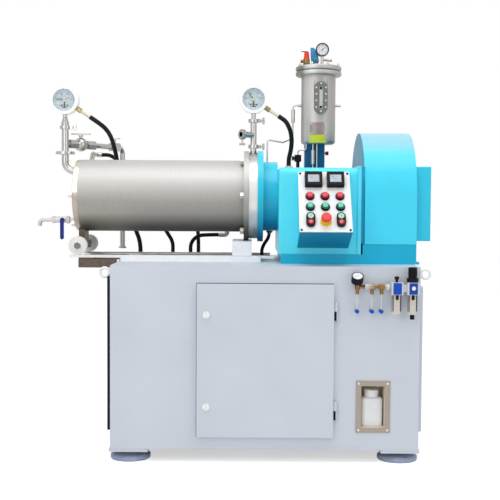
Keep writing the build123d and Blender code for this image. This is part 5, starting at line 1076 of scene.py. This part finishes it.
# The outlet gauge's hose: one smooth line through the route's points, from the chamber to the deck
hose = {"radius": 0.009, "sunk": 0.0005, "straight": 0.036, "curveSteps": 8, "roundSteps": 6, "order": 3}
hoseTip = outletGauge + glandWay * (gauge["glandEnd"] - hose["sunk"])
hoseRoute = [
    hoseTip, hoseTip + glandWay * hose["straight"], (-0.496, 0.046, 1.234), (-0.483, 0.099, 1.205),
    (-0.477, 0.150, 1.165), (-0.472, 0.193, 1.113), (-0.464, 0.220, 1.046), (-0.447, 0.230, 0.971),
    (-0.425, 0.236, 0.895), (-0.400, 0.241, 0.823), (-0.380, 0.243, 0.772),
    (-0.380, 0.243, cupTop - hose["sunk"]),
]
line = bpy.data.curves.new("outletGaugeHose", "CURVE")
line.dimensions = "3D"
line.resolution_u = hose["curveSteps"]
line.bevel_depth = hose["radius"]
line.bevel_resolution = hose["roundSteps"]
line.use_fill_caps = True
spline = line.splines.new("NURBS")
spline.points.add(len(hoseRoute) - 1)
for point, place in zip(spline.points, hoseRoute):
    point.co = (*place, 1)
spline.order_u = hose["order"]
spline.use_endpoint_u = True
hoseLine = bpy.data.objects.new("outletGaugeHose", line)
bpy.context.scene.collection.objects.link(hoseLine)
startPiece()
hoseLine.select_set(True)
bpy.context.view_layer.objects.active = hoseLine
bpy.ops.object.convert(target="MESH")
hosePiece = bpy.context.object
colourOnly(hosePiece, "hoseRubber")
hosePiece.select_set(True)
bpy.ops.object.shade_smooth()
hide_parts("outlet_gauge_hose")
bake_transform(hosePiece)
print("hose done")

# Front stretch of the two side panels, near black on the left as painted shade, and painted like the cabinet
# on the right
panelFront = {"behind": 0.017, "thick": 0.0122, "overlap": 0.008, "corner": 0.006, "edge": 0.0006,
              "foot": 0.112, "leftTop": 0.672, "rightTop": 0.641}
panelStart = shellLow.y + panelFront["behind"]
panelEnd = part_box("service_panels")[0].y + panelFront["overlap"]
upright = Matrix(((0, 0, 1), (1, 0, 0), (0, 1, 0))).to_4x4()
for label, x, finish in (("left", shellLow.x - panelFront["thick"], "leftPanelShade"),
                         ("right", shellHigh.x, "cabinetPaint")):
    top, foot = panelFront[label + "Top"], panelFront["foot"]
    piece = flatPiece(label + "PanelFront", panelEnd - panelStart, top - foot, panelFront["thick"],
                      corner=panelFront["corner"], edge=panelFront["edge"])
    lay(piece, moved(x, (panelStart + panelEnd) / 2, (top + foot) / 2) @ upright)
    wear(piece, finish)
print("side panels done")

# Floor, light and camera
stage = {"floorColour": (246, 246, 246), "floorSize": 30, "floorRough": 0.9, "floorGlow": 0.55,
         "skyLight": 0.5}
white = (1, 1, 1, 1)


# A strength that only the camera, mirrors and clear stuff see
def whiteBehind(tree, strength):
    path = addNode(tree, "LightPath", {})
    seen = addNode(tree, "Math", {0: path.outputs["Is Camera Ray"], 1: path.outputs["Is Glossy Ray"]},
                   operation="MAXIMUM")
    seen = addNode(tree, "Math", {0: seen.outputs[0], 1: path.outputs["Is Transmission Ray"]},
                   operation="MAXIMUM")
    return addNode(tree, "Math", {0: seen.outputs[0], 1: strength}, operation="MULTIPLY").outputs[0]


bpy.ops.object.select_all(action="DESELECT")
bpy.ops.mesh.primitive_plane_add(size=stage["floorSize"], location=(0, 0, 0))
floor = bpy.context.object
floor.name = "studioFloor"
floorSkin, floorTree = newMaterial("studioFloor")
feed(floorTree.nodes["Principled BSDF"], {
    "Base Color": asLinear(stage["floorColour"]), "Roughness": stage["floorRough"], "Specular IOR Level": 0.0,
    "Emission Color": white, "Emission Strength": whiteBehind(floorTree, stage["floorGlow"])})
floor.data.materials.append(floorSkin)

world = bpy.data.worlds.new("studioSky")
world.use_nodes = True
bpy.context.scene.world = world
skyTree = world.node_tree
level = addNode(skyTree, "Math", {0: whiteBehind(skyTree, 1 - stage["skyLight"]), 1: stage["skyLight"]},
                operation="ADD")
feed(skyTree.nodes["Background"], {"Color": white, "Strength": level.outputs[0]})


def softBox(name, spot, aim, width, height, power):
    light = bpy.data.lights.new(name, "AREA")
    light.shape = "RECTANGLE"
    light.size = width
    light.size_y = height
    light.energy = power
    lamp = bpy.data.objects.new(name, light)
    lamp.location = spot
    lamp.rotation_euler = (Vector(aim) - Vector(spot)).to_track_quat("-Z", "Y").to_euler()
    bpy.context.scene.collection.objects.link(lamp)


softBox("topLight", spot=(0.0, -0.9, 3.4), aim=(0.0, 0.0, 0.8), width=3.2, height=2.0, power=44)
softBox("frontLight", spot=(-1.6, -3.6, 2.2), aim=(0.1, 0.0, 0.8), width=2.4, height=2.4, power=29)
softBox("rightLight", spot=(2.8, -2.2, 1.8), aim=(0.3, 0.0, 0.9), width=1.6, height=2.4, power=13)

view = {"spot": (0.0835, -3.777, 0.932), "pitch": -2.71, "roll": 0.35, "lens": 68.4, "sensor": 36}
camera = bpy.data.cameras.new("photoCamera")
camera.lens = view["lens"]
camera.sensor_width = view["sensor"]
cameraObject = bpy.data.objects.new("photoCamera", camera)
cameraObject.location = view["spot"]
aimed = Matrix.Rotation(radians(90 + view["pitch"]), 4, "X") @ turned(radians(view["roll"]))
cameraObject.rotation_euler = aimed.to_euler()
bpy.context.scene.collection.objects.link(cameraObject)
bpy.context.scene.camera = cameraObject
bpy.context.scene.view_settings.view_transform = "Standard"
print("stage set")
